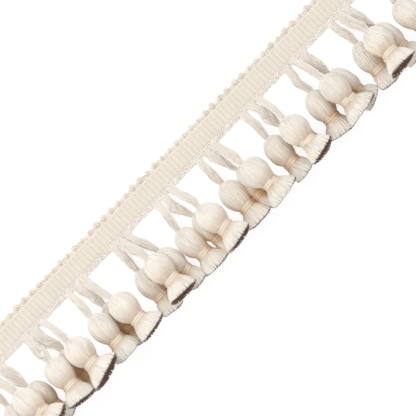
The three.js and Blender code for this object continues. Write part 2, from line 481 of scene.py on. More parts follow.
@dataclass(frozen=True)
class TapeFinish(CottonFinish):
    """A ribbed woven tape: fine lengthwise threads laid over crosswise cords, painted darker between the
    ribs as shade.

    Attributes:
        cloud_size: The size of its cloudy patches, in millimetres.
        mottling: How many spots of the threads' mottling lie in a metre along X, Y and Z.
        thread_shade: How much its threads' mottling darkens it.
        rib_shade: How much darker it is painted between the ribs, a painted shade.
        cloud_shade: How much its cloudy patches darken it.
    """

    cloud_size: float = 9.0
    mottling: tuple[float, float, float] = (350.0, 1700.0, 900.0)
    thread_shade: float = 0.7
    rib_shade: float = 0.78
    cloud_shade: float = 0.3

    def _pattern(self, tree: NodeTree, place: NodeSocket) -> tuple[NodeSocket, NodeSocket]:
        """Clouds the tape, mottles its threads, and paints shade between the ribs.

        Args:
            tree: The material's tree.
            place: Where the surface lies on the object.

        Returns:
            The colour, and the height of the threads.
        """
        # Threads are longer than they are wide, so their mottling is drawn out along X.
        drawn_out = add_node(tree, "ShaderNodeMapping", {"Vector": place, "Scale": self.mottling})
        thread = add_node(
            tree,
            "ShaderNodeTexNoise",
            {"Vector": drawn_out.outputs["Vector"], "Scale": 1.0, "Detail": 3.0},
        ).outputs["Fac"]
        cloud = add_node(tree, "ShaderNodeTexNoise", {"Vector": place, "Scale": 1 / (self.cloud_size * MM)})
        depth = add_node(tree, "ShaderNodeAttribute", attribute_name="depth")
        mottled = {"Value": thread, "Value_001": self.thread_shade, "Value_002": -self.thread_shade / 2}
        base = add_node(tree, "ShaderNodeMath", mottled, operation="MULTIPLY_ADD").outputs["Value"]
        patches = ((depth.outputs["Fac"], self.rib_shade), (cloud.outputs["Fac"], self.cloud_shade))
        return self._shaded(tree, base, patches), thread


@dataclass(frozen=True)
class Finishes:
    """Every material of the trim, made once.

    Attributes:
        tape: The ribbed tape.
        picot: The picot loops.
        edge: The loops of the edge row.
        hanger: The loose yarns of the hangers.
        tassel: The yarns over the heads and skirts.
        thread: The thread round the necks.
        cut: The yarn ends in the cut face, painted dull brown as the cut face's shade.
    """

    tape: Material
    picot: Material
    edge: Material
    hanger: Material
    tassel: Material
    thread: Material
    cut: Material

    @classmethod
    def made(cls) -> "Finishes":
        """Makes the finishes of natural cotton yarn in its several uses.

        Returns:
            The finishes.
        """
        return cls(
            # Cotton packed over the ribs: matt cream, with a dull tan painted as shade where threads dip
            # between ribs.
            tape=TapeFinish(
                "ribbed cotton tape",
                "#e7e0d7",
                "#cec0af",
                relief=0.12,
                depth_shown=0.5,
                roughness=0.8,
                sheen=0.15,
            ).material(),
            # Tightly twisted cotton: its plies are fine slanting lines with a faint sheen, and painted shade
            # in the grooves between their crowns.
            picot=YarnFinish("twisted cotton picot yarn", "#eee6dc", "#dccfbf", relief=0.12).material(),
            # Thin loops of softer cotton that catch the light, so the row is the trim's whitest.
            edge=YarnFinish("cotton edge loop yarn", "#f5f1ea", "#e4dace", relief=0.1).material(),
            # Loose cotton under little tension: long shallow plies and a soft, even, matt white.
            hanger=YarnFinish(
                "loose cotton hanger yarn", "#ede8e0", "#ddd2c5", twist=3.4, relief=0.1
            ).material(),
            # Soft fluffy cotton: a velvety edge of fibres, with painted shade: tan where yarns lie deep and
            # brown where cut.
            tassel=YarnFinish("soft cotton tassel yarn", "#f4f0e9", "#e8decf", twist=3.0).material(),
            # Hard thin thread pulled tight: closer twist, warm cream in the shade of its own turns.
            thread=YarnFinish("hard cotton binding thread", "#f0e8dd", "#dccab0", twist=1.8).material(),
            # Cut ends lose light between them: dull brown, a painted shade of the cut face, with no sheen at
            # all.
            cut=YarnFinish(
                "cut cotton yarn ends", "#8f7262", "#503c33", roughness=0.95, sheen=0.0
            ).material(),
        )


# ---- Geometry trees ----


class TreeInput(Enum):
    """The kinds of input that a geometry tree has."""

    GEOMETRY = "NodeSocketGeometry"
    COUNT = "NodeSocketInt"
    SIZE = "NodeSocketFloat"
    PLACE = "NodeSocketVector"
    MATERIAL = "NodeSocketMaterial"


def new_tree(name: str, inputs: dict[str, TreeInput]) -> tuple[NodeTree, dict[str, NodeSocket]]:
    """Starts a geometry tree with named inputs and one geometry output.

    Args:
        name: The tree's name.
        inputs: Each input's name and kind.

    Returns:
        The tree, and the sockets that its inputs come from.
    """
    tree = bpy.data.node_groups.new(name, "GeometryNodeTree")
    for label, kind in inputs.items():
        tree.interface.new_socket(label, in_out="INPUT", socket_type=kind.value)
    tree.interface.new_socket("Geometry", in_out="OUTPUT", socket_type=TreeInput.GEOMETRY.value)
    source = tree.nodes.new("NodeGroupInput")
    return tree, {label: source.outputs[label] for label in inputs}


def end_tree(tree: NodeTree, geometry: NodeSocket, material: NodeSocket) -> None:
    """Ends a tree in smooth, real geometry with its material.

    Args:
        tree: The tree.
        geometry: What it has made.
        material: Where its material comes from.
    """
    real = add_node(tree, "GeometryNodeRealizeInstances", {"Geometry": geometry})
    smooth = add_node(tree, "GeometryNodeSetShadeSmooth", {"Geometry": real.outputs["Geometry"]})
    dressed = add_node(
        tree, "GeometryNodeSetMaterial", {"Geometry": smooth.outputs["Geometry"], "Material": material}
    )
    add_node(tree, "NodeGroupOutput", {"Geometry": dressed.outputs["Geometry"]})


def tube_round(
    tree: NodeTree, curve: NodeSocket, sides: NodeSocket, thickness: NodeSocket
) -> NodeSocket:
    """Makes a closed tube round a curve, which remembers the direction from its middle to its surface.

    Args:
        tree: The geometry tree.
        curve: The tube's path.
        sides: How many sides the tube has.
        thickness: The tube's radius.

    Returns:
        The tube's mesh.
    """
    ring = add_node(tree, "GeometryNodeCurvePrimitiveCircle", {"Resolution": sides, "Radius": 1.0})
    around = add_node(
        tree,
        "GeometryNodeStoreNamedAttribute",
        {
            "Geometry": ring.outputs["Curve"],
            "Name": "around",
            "Value": add_node(tree, "GeometryNodeInputPosition").outputs["Position"],
        },
        data_type="FLOAT_VECTOR",
        domain="POINT",
    )
    tube = add_node(
        tree,
        "GeometryNodeCurveToMesh",
        {
            "Curve": curve,
            "Profile Curve": around.outputs["Geometry"],
            "Scale": thickness,
            "Fill Caps": True,
        },
    )
    return tube.outputs["Mesh"]


def yarn_tree() -> NodeTree:
    """Makes a tree that turns each chain of edges into a tube of yarn, as thick as its points say.

    Returns:
        The tree.
    """
    tree, inputs = new_tree(
        "yarns along paths",
        {"Paths": TreeInput.GEOMETRY, "Sides": TreeInput.COUNT, "Material": TreeInput.MATERIAL},
    )
    curves = add_node(tree, "GeometryNodeMeshToCurve", {"Mesh": inputs["Paths"]})
    thickness = add_node(tree, "GeometryNodeInputNamedAttribute", {"Name": "thickness"}, data_type="FLOAT")
    tube = tube_round(tree, curves.outputs["Curve"], inputs["Sides"], thickness.outputs["Attribute"])
    end_tree(tree, tube, inputs["Material"])
    return tree


def loop_row_tree() -> NodeTree:
    """Makes a tree that sets small open loops of yarn along a line, none quite like the next.

    Returns:
        The tree.
    """
    tree, inputs = new_tree(
        "row of loops",
        {
            "Start": TreeInput.PLACE,
            "Step": TreeInput.PLACE,
            "Count": TreeInput.COUNT,
            "Loop Size": TreeInput.PLACE,
            "Gap": TreeInput.SIZE,
            "Yarn Radius": TreeInput.SIZE,
            "Steps": TreeInput.COUNT,
            "Sides": TreeInput.COUNT,
            "Turn Least": TreeInput.PLACE,
            "Turn Most": TreeInput.PLACE,
            "Uneven": TreeInput.SIZE,
            "Seed": TreeInput.COUNT,
            "Material": TreeInput.MATERIAL,
        },
    )
    loop = _open_loop(tree, inputs)
    line = add_node(
        tree,
        "GeometryNodeMeshLine",
        {"Count": inputs["Count"], "Start Location": inputs["Start"], "Offset": inputs["Step"]},
    )
    turn = add_node(
        tree,
        "FunctionNodeRandomValue",
        {"Min": inputs["Turn Least"], "Max": inputs["Turn Most"], "Seed": inputs["Seed"]},
        data_type="FLOAT_VECTOR",
    )
    least, most = (
        add_node(tree, "ShaderNodeMath", {"Value": 1.0, "Value_001": inputs["Uneven"]}, operation=operation)
        for operation in ("SUBTRACT", "ADD")
    )
    size = add_node(
        tree,
        "FunctionNodeRandomValue",
        {"Min_001": least.outputs["Value"], "Max_001": most.outputs["Value"], "Seed": inputs["Seed"]},
        data_type="FLOAT",
    )
    set_out = add_node(
        tree,
        "GeometryNodeInstanceOnPoints",
        {
            "Points": line.outputs["Mesh"],
            "Instance": loop,
            "Rotation": turn.outputs["Value"],
            "Scale": socket_of(size.outputs, "Value_001"),
        },
    )
    tone = add_node(tree, "FunctionNodeRandomValue", {"Seed": inputs["Seed"]}, data_type="FLOAT")
    toned = add_node(
        tree,
        "GeometryNodeStoreNamedAttribute",
        {
            "Geometry": set_out.outputs["Instances"],
            "Name": "tone",
            "Value": socket_of(tone.outputs, "Value_001"),
        },
        data_type="FLOAT",
        domain="INSTANCE",
    )
    end_tree(tree, toned.outputs["Geometry"], inputs["Material"])
    return tree


def _open_loop(tree: NodeTree, inputs: dict[str, NodeSocket]) -> NodeSocket:
    """Makes one loop of yarn that stands on its two feet at the origin and bends over towards +Y.

    Args:
        tree: The geometry tree.
        inputs: The tree's inputs, of which this reads the loop's size, gap, steps and yarn.

    Returns:
        The loop's mesh.
    """
    sweep = add_node(
        tree, "ShaderNodeMath", {"Value": TURN, "Value_001": inputs["Gap"]}, operation="SUBTRACT"
    )
    half_gap = add_node(
        tree, "ShaderNodeMath", {"Value": inputs["Gap"], "Value_001": 0.5}, operation="MULTIPLY"
    )
    first = add_node(
        tree,
        "ShaderNodeMath",
        {"Value": half_gap.outputs["Value"], "Value_001": -math.pi / 2},
        operation="ADD",
    )
    arc = add_node(
        tree,
        "GeometryNodeCurveArc",
        {
            "Resolution": inputs["Steps"],
            "Radius": 1.0,
            "Start Angle": first.outputs["Value"],
            "Sweep Angle": sweep.outputs["Value"],
        },
        mode="RADIUS",
    )
    standing = add_node(
        tree, "GeometryNodeTransform", {"Geometry": arc.outputs["Curve"], "Translation": (0.0, 1.0, 0.0)}
    )
    # One foot passes over the other, so the loop climbs out of its plane along its length.
    passed = add_node(tree, "GeometryNodeSplineParameter")
    lift = add_node(
        tree, "ShaderNodeMath", {"Value": passed.outputs["Factor"], "Value_001": 0.5}, operation="SUBTRACT"
    )
    offset = add_node(tree, "ShaderNodeCombineXYZ", {"Z": lift.outputs["Value"]})
    lifted = add_node(
        tree,
        "GeometryNodeSetPosition",
        {"Geometry": standing.outputs["Geometry"], "Offset": offset.outputs["Vector"]},
    )
    shaped = add_node(
        tree,
        "GeometryNodeTransform",
        {"Geometry": lifted.outputs["Geometry"], "Scale": inputs["Loop Size"]},
    )
    in_mm = add_node(
        tree,
        "ShaderNodeMath",
        {"Value": add_node(tree, "GeometryNodeSplineParameter").outputs["Length"], "Value_001": 1 / MM},
        operation="MULTIPLY",
    )
    measured = add_node(
        tree,
        "GeometryNodeStoreNamedAttribute",
        {"Geometry": shaped.outputs["Geometry"], "Name": "along", "Value": in_mm.outputs["Value"]},
        data_type="FLOAT",
        domain="POINT",
    )
    return tube_round(tree, measured.outputs["Geometry"], inputs["Sides"], inputs["Yarn Radius"])


@dataclass(frozen=True)
class Workshop:
    """What every sub-part is made with.

    Attributes:
        finishes: The trim's materials.
        yarns: The tree that turns paths into tubes.
        loops: The tree that makes rows of loops.
    """

    finishes: Finishes
    yarns: NodeTree
    loops: NodeTree


@dataclass
class SubPart:
    """A part of the trim that is made on its own.

    Attributes:
        shop: What it is made with.
    """

    shop: Workshop


@dataclass
class YarnPaths:
    """Yarns laid one by one or by rule, gathered until they are made into tubes together.

    Attributes:
        points: One array of points for each yarn, in millimetres.
        marks: What the yarns' points carry for the tubes and the material, by name.
    """

    points: list[np.ndarray] = field(default_factory=list)
    marks: dict[str, list[np.ndarray]] = field(default_factory=dict)

    def lay(
        self,
        points: np.ndarray,
        radius: np.ndarray | float,
        tone: np.ndarray | float,
        painted_shade: np.ndarray | float = 0.0,
        cut: np.ndarray | float = 0.0,
    ) -> None:
        """Adds one yarn. All but its points may be given at each point or once for all of them.

        Args:
            points: Where it runs.
            radius: Its radius, in millimetres.
            tone: How dark it is, from 0 to 1.
            painted_shade: How much warm painted shade it takes, from 0 to 1, mostly where the tassels
                shelter it from the light.
            cut: Where it is cut and painted with the brown shade of the cut face, 1, and elsewhere 0.
        """
        run = np.cumsum([0, *np.linalg.norm(np.diff(points, axis=0), axis=1)])
        self.points.append(points)
        for name, value in (
            ("thickness", np.asarray(radius) * MM),
            ("tone", tone),
            ("painted_shade", painted_shade),
            ("cut", cut),
            ("along", run),
        ):
            self.marks.setdefault(name, []).append(np.broadcast_to(value, len(points)))

    def tubes(self, name: str, tree: NodeTree, material: Material, sides: int) -> Object:
        """Makes every yarn a closed tube.

        Args:
            name: The object's name.
            tree: The tree that turns paths into tubes.
            material: The yarn's material.
            sides: How many sides each tube has.

        Returns:
            One object with all the yarns.
        """
        counts = [len(p) for p in self.points]
        points = np.concatenate(self.points)
        starts = np.cumsum([0, *counts[:-1]])
        ends = np.concatenate([np.arange(s, s + n - 1) for s, n in zip(starts, counts)])
        mesh = bpy.data.meshes.new(name)
        mesh.vertices.add(len(points))
        mesh.vertices.foreach_set("co", (points * MM).ravel())
        mesh.edges.add(len(ends))
        mesh.edges.foreach_set("vertices", np.stack([ends, ends + 1], axis=1).ravel())
        for label, values in self.marks.items():
            note(mesh, label, np.concatenate(values))
        return grown(name, mesh, tree, Sides=sides, Material=material)


# ---- Tape ----


@dataclass
class HeadingTape(SubPart):
    """The woven tape, with a crosswise rib every 2.8 mm and a cord along its upper edge.

    Attributes:
        low: Its lowest corner, in millimetres.
        high: Its highest corner.
        body: How thick it is under its ribs.
        rib_height: How far a rib stands up.
        thread_height: How far a thread stands up on a rib.
        rib_shift: How far the first rib runs off the tape's left end.
        cord_width: How wide the cord along the upper edge is.
        cord_foot: How far its sides stand above the body.
        cord_rise: How far its middle stands above its sides.
        cord_turns: How far the turns of its strands stand out.
        thread: The spacing of the lengthwise threads, drawn coarser than the real 0.4 mm so that they show.
        steps_per_rib: Mesh columns in each rib.
        rows: Mesh rows across the tape.
        seed: What makes the ribs uneven.
    """

    low: np.ndarray
    high: np.ndarray
    body: float = 1.0
    rib_height: float = 0.32
    thread_height: float = 0.09
    rib_shift: float = 1.33
    cord_width: float = 1.25
    cord_foot: float = 0.22
    cord_rise: float = 0.14
    cord_turns: float = 0.08
    thread: float = 0.7
    steps_per_rib: int = 6
    rows: int = 60
    seed: int = 4

    def relief(self, x: np.ndarray, y: np.ndarray) -> tuple[np.ndarray, np.ndarray]:
        """Shapes the tape's face.

        Args:
            x: Distances from the tape's left end.
            y: Distances from its lower edge.

        Returns:
            The height above the body, and how deep in a groove each point lies, from 0 to 1, which darkens
            the colour there as painted shade; the stitches add to it.
        """
        rng = np.random.default_rng(self.seed)
        width = self.high[1] - self.low[1]
        pitch = (self.high[0] - self.low[0]) / RIBS
        ribs_along = (x + self.rib_shift) / pitch
        rib = ribs_along.astype(int)
        across_rib = ribs_along - rib
        fullness = rng.uniform(0.7, 1.0, RIBS + 1)[rib]
        crest = (0.5 + 0.5 * np.cos(TURN * (across_rib - 0.5))) ** 0.8
        slant = rng.choice([-0.35, 0.35, 0.5], RIBS + 1)[rib]
        lay = rng.uniform(0, 1, RIBS + 1)[rib]
        thread = 0.5 + 0.5 * np.cos(TURN * (y / self.thread + slant * (across_rib - 0.5) + lay))
        wander = 0.5 + 0.5 * np.sin(y * 1.3 + lay * TURN)
        rib_face = self.rib_height * fullness * crest * (0.86 + 0.14 * wander)
        face = rib_face + self.thread_height * thread * crest
        # The groove share darkens the colour between the ribs and between the threads, a painted shade.
        groove = (1 - crest * fullness) * 0.5 + 0.25 * (1 - thread)
        # The cord takes over near the upper edge, with slanting turns of its own.
        from_top = width - y
        cord = np.sqrt(np.clip(1 - ((from_top - self.cord_width / 2) / (self.cord_width / 2)) ** 2, 0, 1))
        turns = 0.5 + 0.5 * np.cos(TURN * (x / (pitch / 2) + from_top / self.cord_width * 0.6))
        corded = from_top < self.cord_width
        cord_face = self.cord_foot + (self.cord_rise + self.cord_turns * turns) * cord
        face = np.where(corded, cord_face, face)
        # Painted shade between the cord's turns.
        groove = np.where(corded, 0.15 * (1 - turns), groove)
        # A slanting stitch over each rib holds the edge row on.
        stitch = (0.5 + 0.5 * np.cos(TURN * (ribs_along - 0.45 * y))) * (1 - ease(y, 0.35, 0.9))
        return face * ease(y, -0.2, 0.3), np.clip(groove + 0.45 * stitch, 0, 1)

    def build(self) -> None:
        columns = RIBS * self.steps_per_rib + 1
        x, y = np.meshgrid(
            np.linspace(0, self.high[0] - self.low[0], columns),
            np.linspace(0, self.high[1] - self.low[1], self.rows + 1),
            indexing="ij",
        )
        face, groove = self.relief(x, y)
        top = np.stack([x + self.low[0], y + self.low[1], self.low[2] + self.body + face], axis=-1)
        per_column = self.rows + 3  # the face's points, then the back's lower and upper edge
        back = top[:, [0, -1]]
        back[..., 2] = self.low[2]
        points = np.concatenate([top, back], axis=1).reshape(-1, 3)
        depth = np.concatenate([groove, np.full((columns, 2), 0.5)], axis=1).ravel()
        ring = [*range(self.rows + 1), self.rows + 2, self.rows + 1]
        faces = [
            (c * per_column + a, (c + 1) * per_column + a, (c + 1) * per_column + b, c * per_column + b)
            for c in range(columns - 1)
            for a, b in zip(ring, [*ring[1:], ring[0]])
        ]
        last = (columns - 1) * per_column
        faces += [tuple(ring), tuple(last + i for i in reversed(ring))]
        mesh = bpy.data.meshes.new("ribbed_tape")
        mesh.from_pydata((points * MM).tolist(), [], faces)
        note(mesh, "depth", depth)
        mesh.shade_smooth()
        mesh.materials.append(self.shop.finishes.tape)
        piece = linked("ribbed_tape", mesh)
        settle(piece, Slot.HEADING, "heading_tape")


# ---- Rows of loops ----


@dataclass
class LoopRow:
    """One row of loops along the trim.

    Attributes:
        y: Where the loops' feet stand.
        z: Their height.
        pitch: Their spacing.
        first: The first loop's distance from the row's start.
        width: How wide one loop's path is.
        reach: How far its path reaches from its feet; a negative reach points to the tassels.
        lift: How far one foot passes over the other.
        yarn: The yarn's radius.
        gap: The angle between its feet.
        steps: Points along one loop.
        sides: Sides of the yarn.
        turn: The most that a loop turns about X, Y and Z.
        uneven: The most that its size varies, as a share.
        seed: What makes the row uneven.
    """

    y: float
    z: float
    pitch: float
    first: float
    width: float
    reach: float
    lift: float
    yarn: float
    gap: float = 0.5
    steps: int = 11
    sides: int = 5
    turn: tuple[float, float, float] = (0.25, 0.25, 0.2)
    uneven: float = 0.08
    seed: int = 1

    def build(
        self, name: str, start: float, length: float, tree: NodeTree, material: Material
    ) -> Object:
        """Sets the row out along the tape.

        Args:
            name: The object's name.
            start: Where the row starts, in millimetres.
            length: How far it may run.
            tree: The tree that makes rows of loops.
            material: The yarn's material.

        Returns:
            One object with the whole row.
        """
        return grown(
            name,
            bpy.data.meshes.new(name),
            tree,
            Start=((start + self.first) * MM, self.y * MM, self.z * MM),
            Step=(self.pitch * MM, 0.0, 0.0),
            Count=int((length - self.first) / self.pitch) + 1,
            Loop_Size=(self.width / 2 * MM, self.reach / 2 * MM, self.lift * MM),
            Gap=self.gap,
            Yarn_Radius=self.yarn * MM,
            Steps=self.steps,
            Sides=self.sides,
            Turn_Least=tuple(-t for t in self.turn),
            Turn_Most=self.turn,
            Uneven=self.uneven,
            Seed=self.seed,
            Material=material,
        )


@dataclass
class LoopedStrip(SubPart):
    """Rows of loops, and the straight yarns that run through them and close the strip.

    Attributes:
        name: The finished piece's name.
        rows: The rows of loops.
        start: Where the strip starts, in millimetres.
        end: Where it ends.
        margin: How much sooner the rows end.
        straight: Where each straight yarn lies across the trim.
        tone: How dark the straight yarns are, from 0 to 1.
        seed: What makes the straight yarns waver.
        height: The height of their middle.
        radius: Their radius.
    """

    name: str
    rows: list[LoopRow]
    start: float
    end: float
    margin: float
    straight: tuple[float, ...]
    tone: float
    seed: int
    height: float = 0.75
    radius: float = 0.5

    def build(self, material: Material) -> Object:
        """Builds the strip as one piece.

        Args:
            material: The yarns' material.

        Returns:
            The joined piece.
        """
        length = self.end - self.start - self.margin
        parts = [
            row.build(f"{self.name}_{i}", self.start, length, self.shop.loops, material)
            for i, row in enumerate(self.rows)
        ]
        parts.append(self._ground().tubes(f"{self.name}_ground", self.shop.yarns, material, 5))
        return joined(self.name, parts)

    def _ground(self) -> YarnPaths:
        """Lays the straight yarns, each with a waver of its own.

        Returns:
            The yarns.
        """
        rng = np.random.default_rng(self.seed)
        x = np.arange(self.start + 0.2, self.end - 0.2, 1.4)
        paths = YarnPaths()
        for y in self.straight:
            slow, fast = (rng.uniform(0, TURN) for _ in range(2))
            waver = 0.07 * np.sin(x * 1.7 + slow) + 0.05 * np.sin(x * 0.6 + fast)
            points = np.stack([x, y + waver, self.height + 0.06 * np.sin(x * 2.2 + y)], axis=1)
            tone = self.tone + 0.35 * np.sin(x * 4.1 + rng.uniform(0, TURN))
            paths.lay(points, self.radius, tone=tone)
        return paths


@dataclass
class PicotEdging(SubPart):
    """The picots: a round loop over every other rib, a small bump between, and the strip they stand on.

    Attributes:
        low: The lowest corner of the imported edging, in millimetres.
        high: Its highest corner.
        tape_low: The lowest corner of the tape.
        tape_high: Its highest corner.
        shift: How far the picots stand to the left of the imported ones.
    """

    low: np.ndarray
    high: np.ndarray
    tape_low: np.ndarray
    tape_high: np.ndarray
    shift: float = 0.65

    def build(self) -> None:
        """Builds the edging as one piece."""
        start, end = self.tape_low[0], self.tape_high[0]
        rib = (end - start) / RIBS
        pitch = rib * RIBS_PER_PICOT
        foot = self.low[1]
        middle = (self.low[2] + self.high[2]) / 2
        first = pitch + rib / 2 - self.shift
        between = rib * 1.5 - self.shift
        rows = [
            LoopRow(
                y=foot + 1.1, z=middle + 0.8, pitch=pitch, first=first, width=1.75, reach=1.6, lift=0.4,
                yarn=0.75, gap=0.35, steps=15, sides=6, turn=(0.2, 0.35, 0.4), uneven=0.16, seed=3,
            ),
            LoopRow(
                y=foot + 1.6, z=middle + 0.75, pitch=pitch, first=first, width=0.5, reach=0.5, lift=0.2,
                yarn=0.8, gap=0.8, steps=6, sides=6, turn=(0.2, 0.3, 0.3), seed=4,
            ),
            LoopRow(
                y=foot + 0.7, z=middle + 0.4, pitch=pitch, first=between, width=1.7, reach=1.2, lift=0.3,
                yarn=0.5, gap=1.2, steps=10, seed=8,
            ),
            LoopRow(
                y=foot + 0.1, z=middle + 0.3, pitch=rib / 2, first=0.7, width=1.2, reach=1.1, lift=0.4,
                yarn=0.42, steps=9, seed=5,
            ),
        ]
        straight = (foot, foot + 0.65, foot + 1.3)
        strip = LoopedStrip(self.shop, "picot_loops", rows, start, end, rib / 2, straight, tone=0.0, seed=3)
        settle(strip.build(self.shop.finishes.picot), Slot.PICOTS, "picot_edging")


@dataclass
class EdgeRow(SubPart):
    """The double row of tiny loops from which the hangers leave.

    Attributes:
        low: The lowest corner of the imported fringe, in millimetres.
        high: Its highest corner.
        pitch: The spacing of the loops.
    """

    low: np.ndarray
    high: np.ndarray
    pitch: float = 1.4

    def build(self) -> None:
        """Builds the rows as one piece."""
        start, end, top = self.low[0], self.high[0], self.high[1]
        rows = [
            LoopRow(
                y=top, z=1.2, pitch=self.pitch, first=0.7, width=1.35, reach=-1.35, lift=0.6,
                yarn=0.4, steps=10, seed=11,
            ),
            LoopRow(
                y=top - 1.25, z=1.15, pitch=self.pitch, first=0.2, width=1.35, reach=-1.45, lift=0.6,
                yarn=0.42, steps=10, seed=12,
            ),
            LoopRow(
                y=top - 0.75, z=0.95, pitch=self.pitch, first=0.45, width=1.5, reach=-1.65, lift=0.3,
                yarn=0.45, steps=9, seed=13,
            ),
        ]
        straight = tuple(top - offset for offset in (0.05, 0.8, 1.55, 2.3))
        strip = LoopedStrip(self.shop, "edge_loops", rows, start, end, 0.5, straight, tone=0.5, seed=4)
        settle(strip.build(self.shop.finishes.edge), Slot.HANGERS, "hanger_fringe")


# ---- Tassels ----


@dataclass(frozen=True)
class OnionForm:
    """One tassel's form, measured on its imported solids.

    Attributes:
        label: The number of its group and its place there, such as 01_left.
        crown: Where the hanger enters the head, in millimetres.
        head_axes: The head's directions across, along and up.
        skirt_axes: The skirt's.
        head_half: Half the head's width and depth.
        rim_half: Half the cut end's width and depth.
        side_trim: How much shorter the skirt is at its sides, in millimetres.
    """

    label: str
    crown: np.ndarray
    head_axes: np.ndarray
    skirt_axes: np.ndarray
    head_half: tuple[float, float]
    rim_half: tuple[float, float]
    side_trim: float = 1.5

    @classmethod
    def measured(cls, label: str) -> "OnionForm":
        """Reads a tassel's form from its body and its binding.

        Args:
            label: The number of its group and its place there.

        Returns:
            The form.
        """
        body = corners_of(f"tassel_{label}")
        neck = corners_of(f"binding_{label}").mean(axis=0)
        crown = body[np.argmax(np.linalg.norm(body - neck, axis=1))]
        along = unit(neck - crown)
        across = unit(np.cross((0, 0, 1), along))
        up = np.cross(along, across)
        skirt_root = crown + SKIRT_TOP * along
        reach = np.linalg.norm(body - skirt_root, axis=1)
        tip = body[np.argmin(np.abs(reach - SKIRT_LENGTH))]
        skirt_along = unit(tip - skirt_root)
        skirt_across = np.cross(up, skirt_along)
        head = body[(body - crown) @ along < HEAD_LENGTH - 0.1] - crown
        rim = body[np.abs((body - tip) @ skirt_along) < 0.1] - tip
        swell = FULLNESS + MORE_SWELL.get(label, 0.0)
        return cls(
            label,
            crown,
            np.array([across, along, up]),
            np.array([skirt_across, skirt_along, up]),
            (np.abs(head @ across).max() + swell, (head @ up).max() + FULLNESS),
            (np.abs(rim @ skirt_across).max() + RIM_FULLNESS, (rim @ up).max() + FULLNESS),
        )

    @property
    def index(self) -> int:
        """The tassel's number in the trim, which seeds what is uneven in it."""
        number, place = self.label.split("_")
        return int(number) * 3 + Place[place.upper()].value

    @property
    def lies_high(self) -> bool:
        """Whether the tassel lies on top of its neighbours."""
        return bool(self.crown[2] > 8.0)

    def press(self, along: np.ndarray) -> tuple[np.ndarray, np.ndarray]:
        """Returns the tassel's half width and half depth at distances along its axis.

        Args:
            along: Distances from the crown.

        Returns:
            The half width and the half depth.
        """
        upper = np.sqrt(1 - np.clip((WIDEST - along) / WIDEST, 0, 1) ** CROWN_CURVE)
        tuck = 1 - np.clip((along - WIDEST) / (HEAD_LENGTH + 0.3 - WIDEST), 0, 1) ** TUCK_CURVE
        lower = NECK_RADIUS + (HEAD_RADIUS - NECK_RADIUS) * tuck
        down_skirt = np.clip((along - SKIRT_TOP + 0.6) / (SKIRT_LENGTH + 0.6), 0, 1)
        fan = 1 - (1 - down_skirt) ** FAN_CURVE
        radius = np.where(along < WIDEST, HEAD_RADIUS * upper, lower) + (RIM_RADIUS - NECK_RADIUS) * fan
        head = 1 - ease(along, HEAD_LENGTH / 2, HEAD_LENGTH)
        halves = []
        for neck, head_half, rim_half in (
            (1.0, self.head_half[0], self.rim_half[0]), (NECK_PRESS, self.head_half[1], self.rim_half[1])
        ):
            share = neck + (head_half / HEAD_RADIUS - neck) * head
            halves.append(radius * (share + (rim_half / RIM_RADIUS - neck) * down_skirt**0.8))
        return halves[0], halves[1]

    def cut_back(self, angle: np.ndarray | float) -> np.ndarray | float:
        """Returns how much shorter the skirt is trimmed towards its two sides, at angles about its axis."""
        return self.side_trim * np.cos(angle) ** 4

    def place(self, along: np.ndarray, across: np.ndarray, up: np.ndarray) -> np.ndarray:
        """Turns distances along, across and above the tassel's axis into points of the trim.

        Args:
            along: Distances from the crown.
            across: Distances to the tassel's side.
            up: Distances above its axis.

        Returns:
            Points in millimetres, none below the surface that the trim lies on.
        """
        on_head = np.stack([across, along, up], axis=-1) @ self.head_axes
        root = SKIRT_TOP * self.head_axes[1]
        on_skirt = np.stack([across, along - SKIRT_TOP, up], axis=-1) @ self.skirt_axes + root
        bent = ease(along, SKIRT_TOP - 1.0, SKIRT_TOP + 1.6)[..., None]
        points = self.crown + on_head * (1 - bent) + on_skirt * bent
        sag = ease(along, WIDEST, HEAD_LENGTH) - ease(along, SKIRT_TOP, TASSEL_LENGTH)
        points[..., 0] += NECK_LEANS.get(self.label, 0.0) * sag
        points[..., 2] = np.maximum(points[..., 2], 0.5)
        return points

    def round_at(self, along: np.ndarray, angle: np.ndarray, inset: np.ndarray | float) -> np.ndarray:
        """Returns points on the tassel's surface, or inside it.

        Args:
            along: Distances from the crown.
            angle: Angles about the axis.
            inset: How far inside the surface the points lie.

        Returns:
            Points in millimetres.
        """
        half_width, half_depth = self.press(along)
        sunk = inset - self.lumps(along, angle)
        across = np.maximum(half_width - sunk, 0) * np.cos(angle)
        up = np.maximum(half_depth - sunk, 0) * np.sin(angle)
        return self.place(along, across, up)

    def lumps(self, along: np.ndarray, angle: np.ndarray) -> np.ndarray:
        """Returns how far the soft yarns stand out or sink in, no tassel quite like the next.

        Args:
            along: Distances from the crown.
            angle: Angles about the axis.

        Returns:
            Heights above the even form, in millimetres.
        """
        rng = np.random.default_rng(700 + self.index)
        height = np.zeros(np.broadcast(along, angle).shape)
        for waves, size in ((1, 0.1), (2, 0.16), (3, 0.13), (5, 0.1)):
            lean, start = rng.uniform(-0.3, 0.3), rng.uniform(0, TURN)
            height = height + size * np.sin(waves * angle + lean * along + start)
        on_head = ease(along, 1.0, 5.0) * (1 - ease(along, HEAD_LENGTH - 4.0, HEAD_LENGTH))
        return height * (on_head + 1.4 * ease(along, SKIRT_TOP + 1.0, SKIRT_TOP + 4.0))


def even_angles(half_width: float, half_depth: float, count: int) -> np.ndarray:
    """Spaces points evenly round an ellipse.

    Args:
        half_width: Its half width.
        half_depth: Its half depth.
        count: How many points.

    Returns:
        The points' angles in the ellipse's own parameter, counted from the +X side.
    """
    fine = np.linspace(0, TURN, 721)
    step = np.hypot(half_width * np.sin(fine), half_depth * np.cos(fine))
    run = np.cumsum(step) - step[0]
    return np.interp(np.arange(count) / count * run[-1], run, fine)


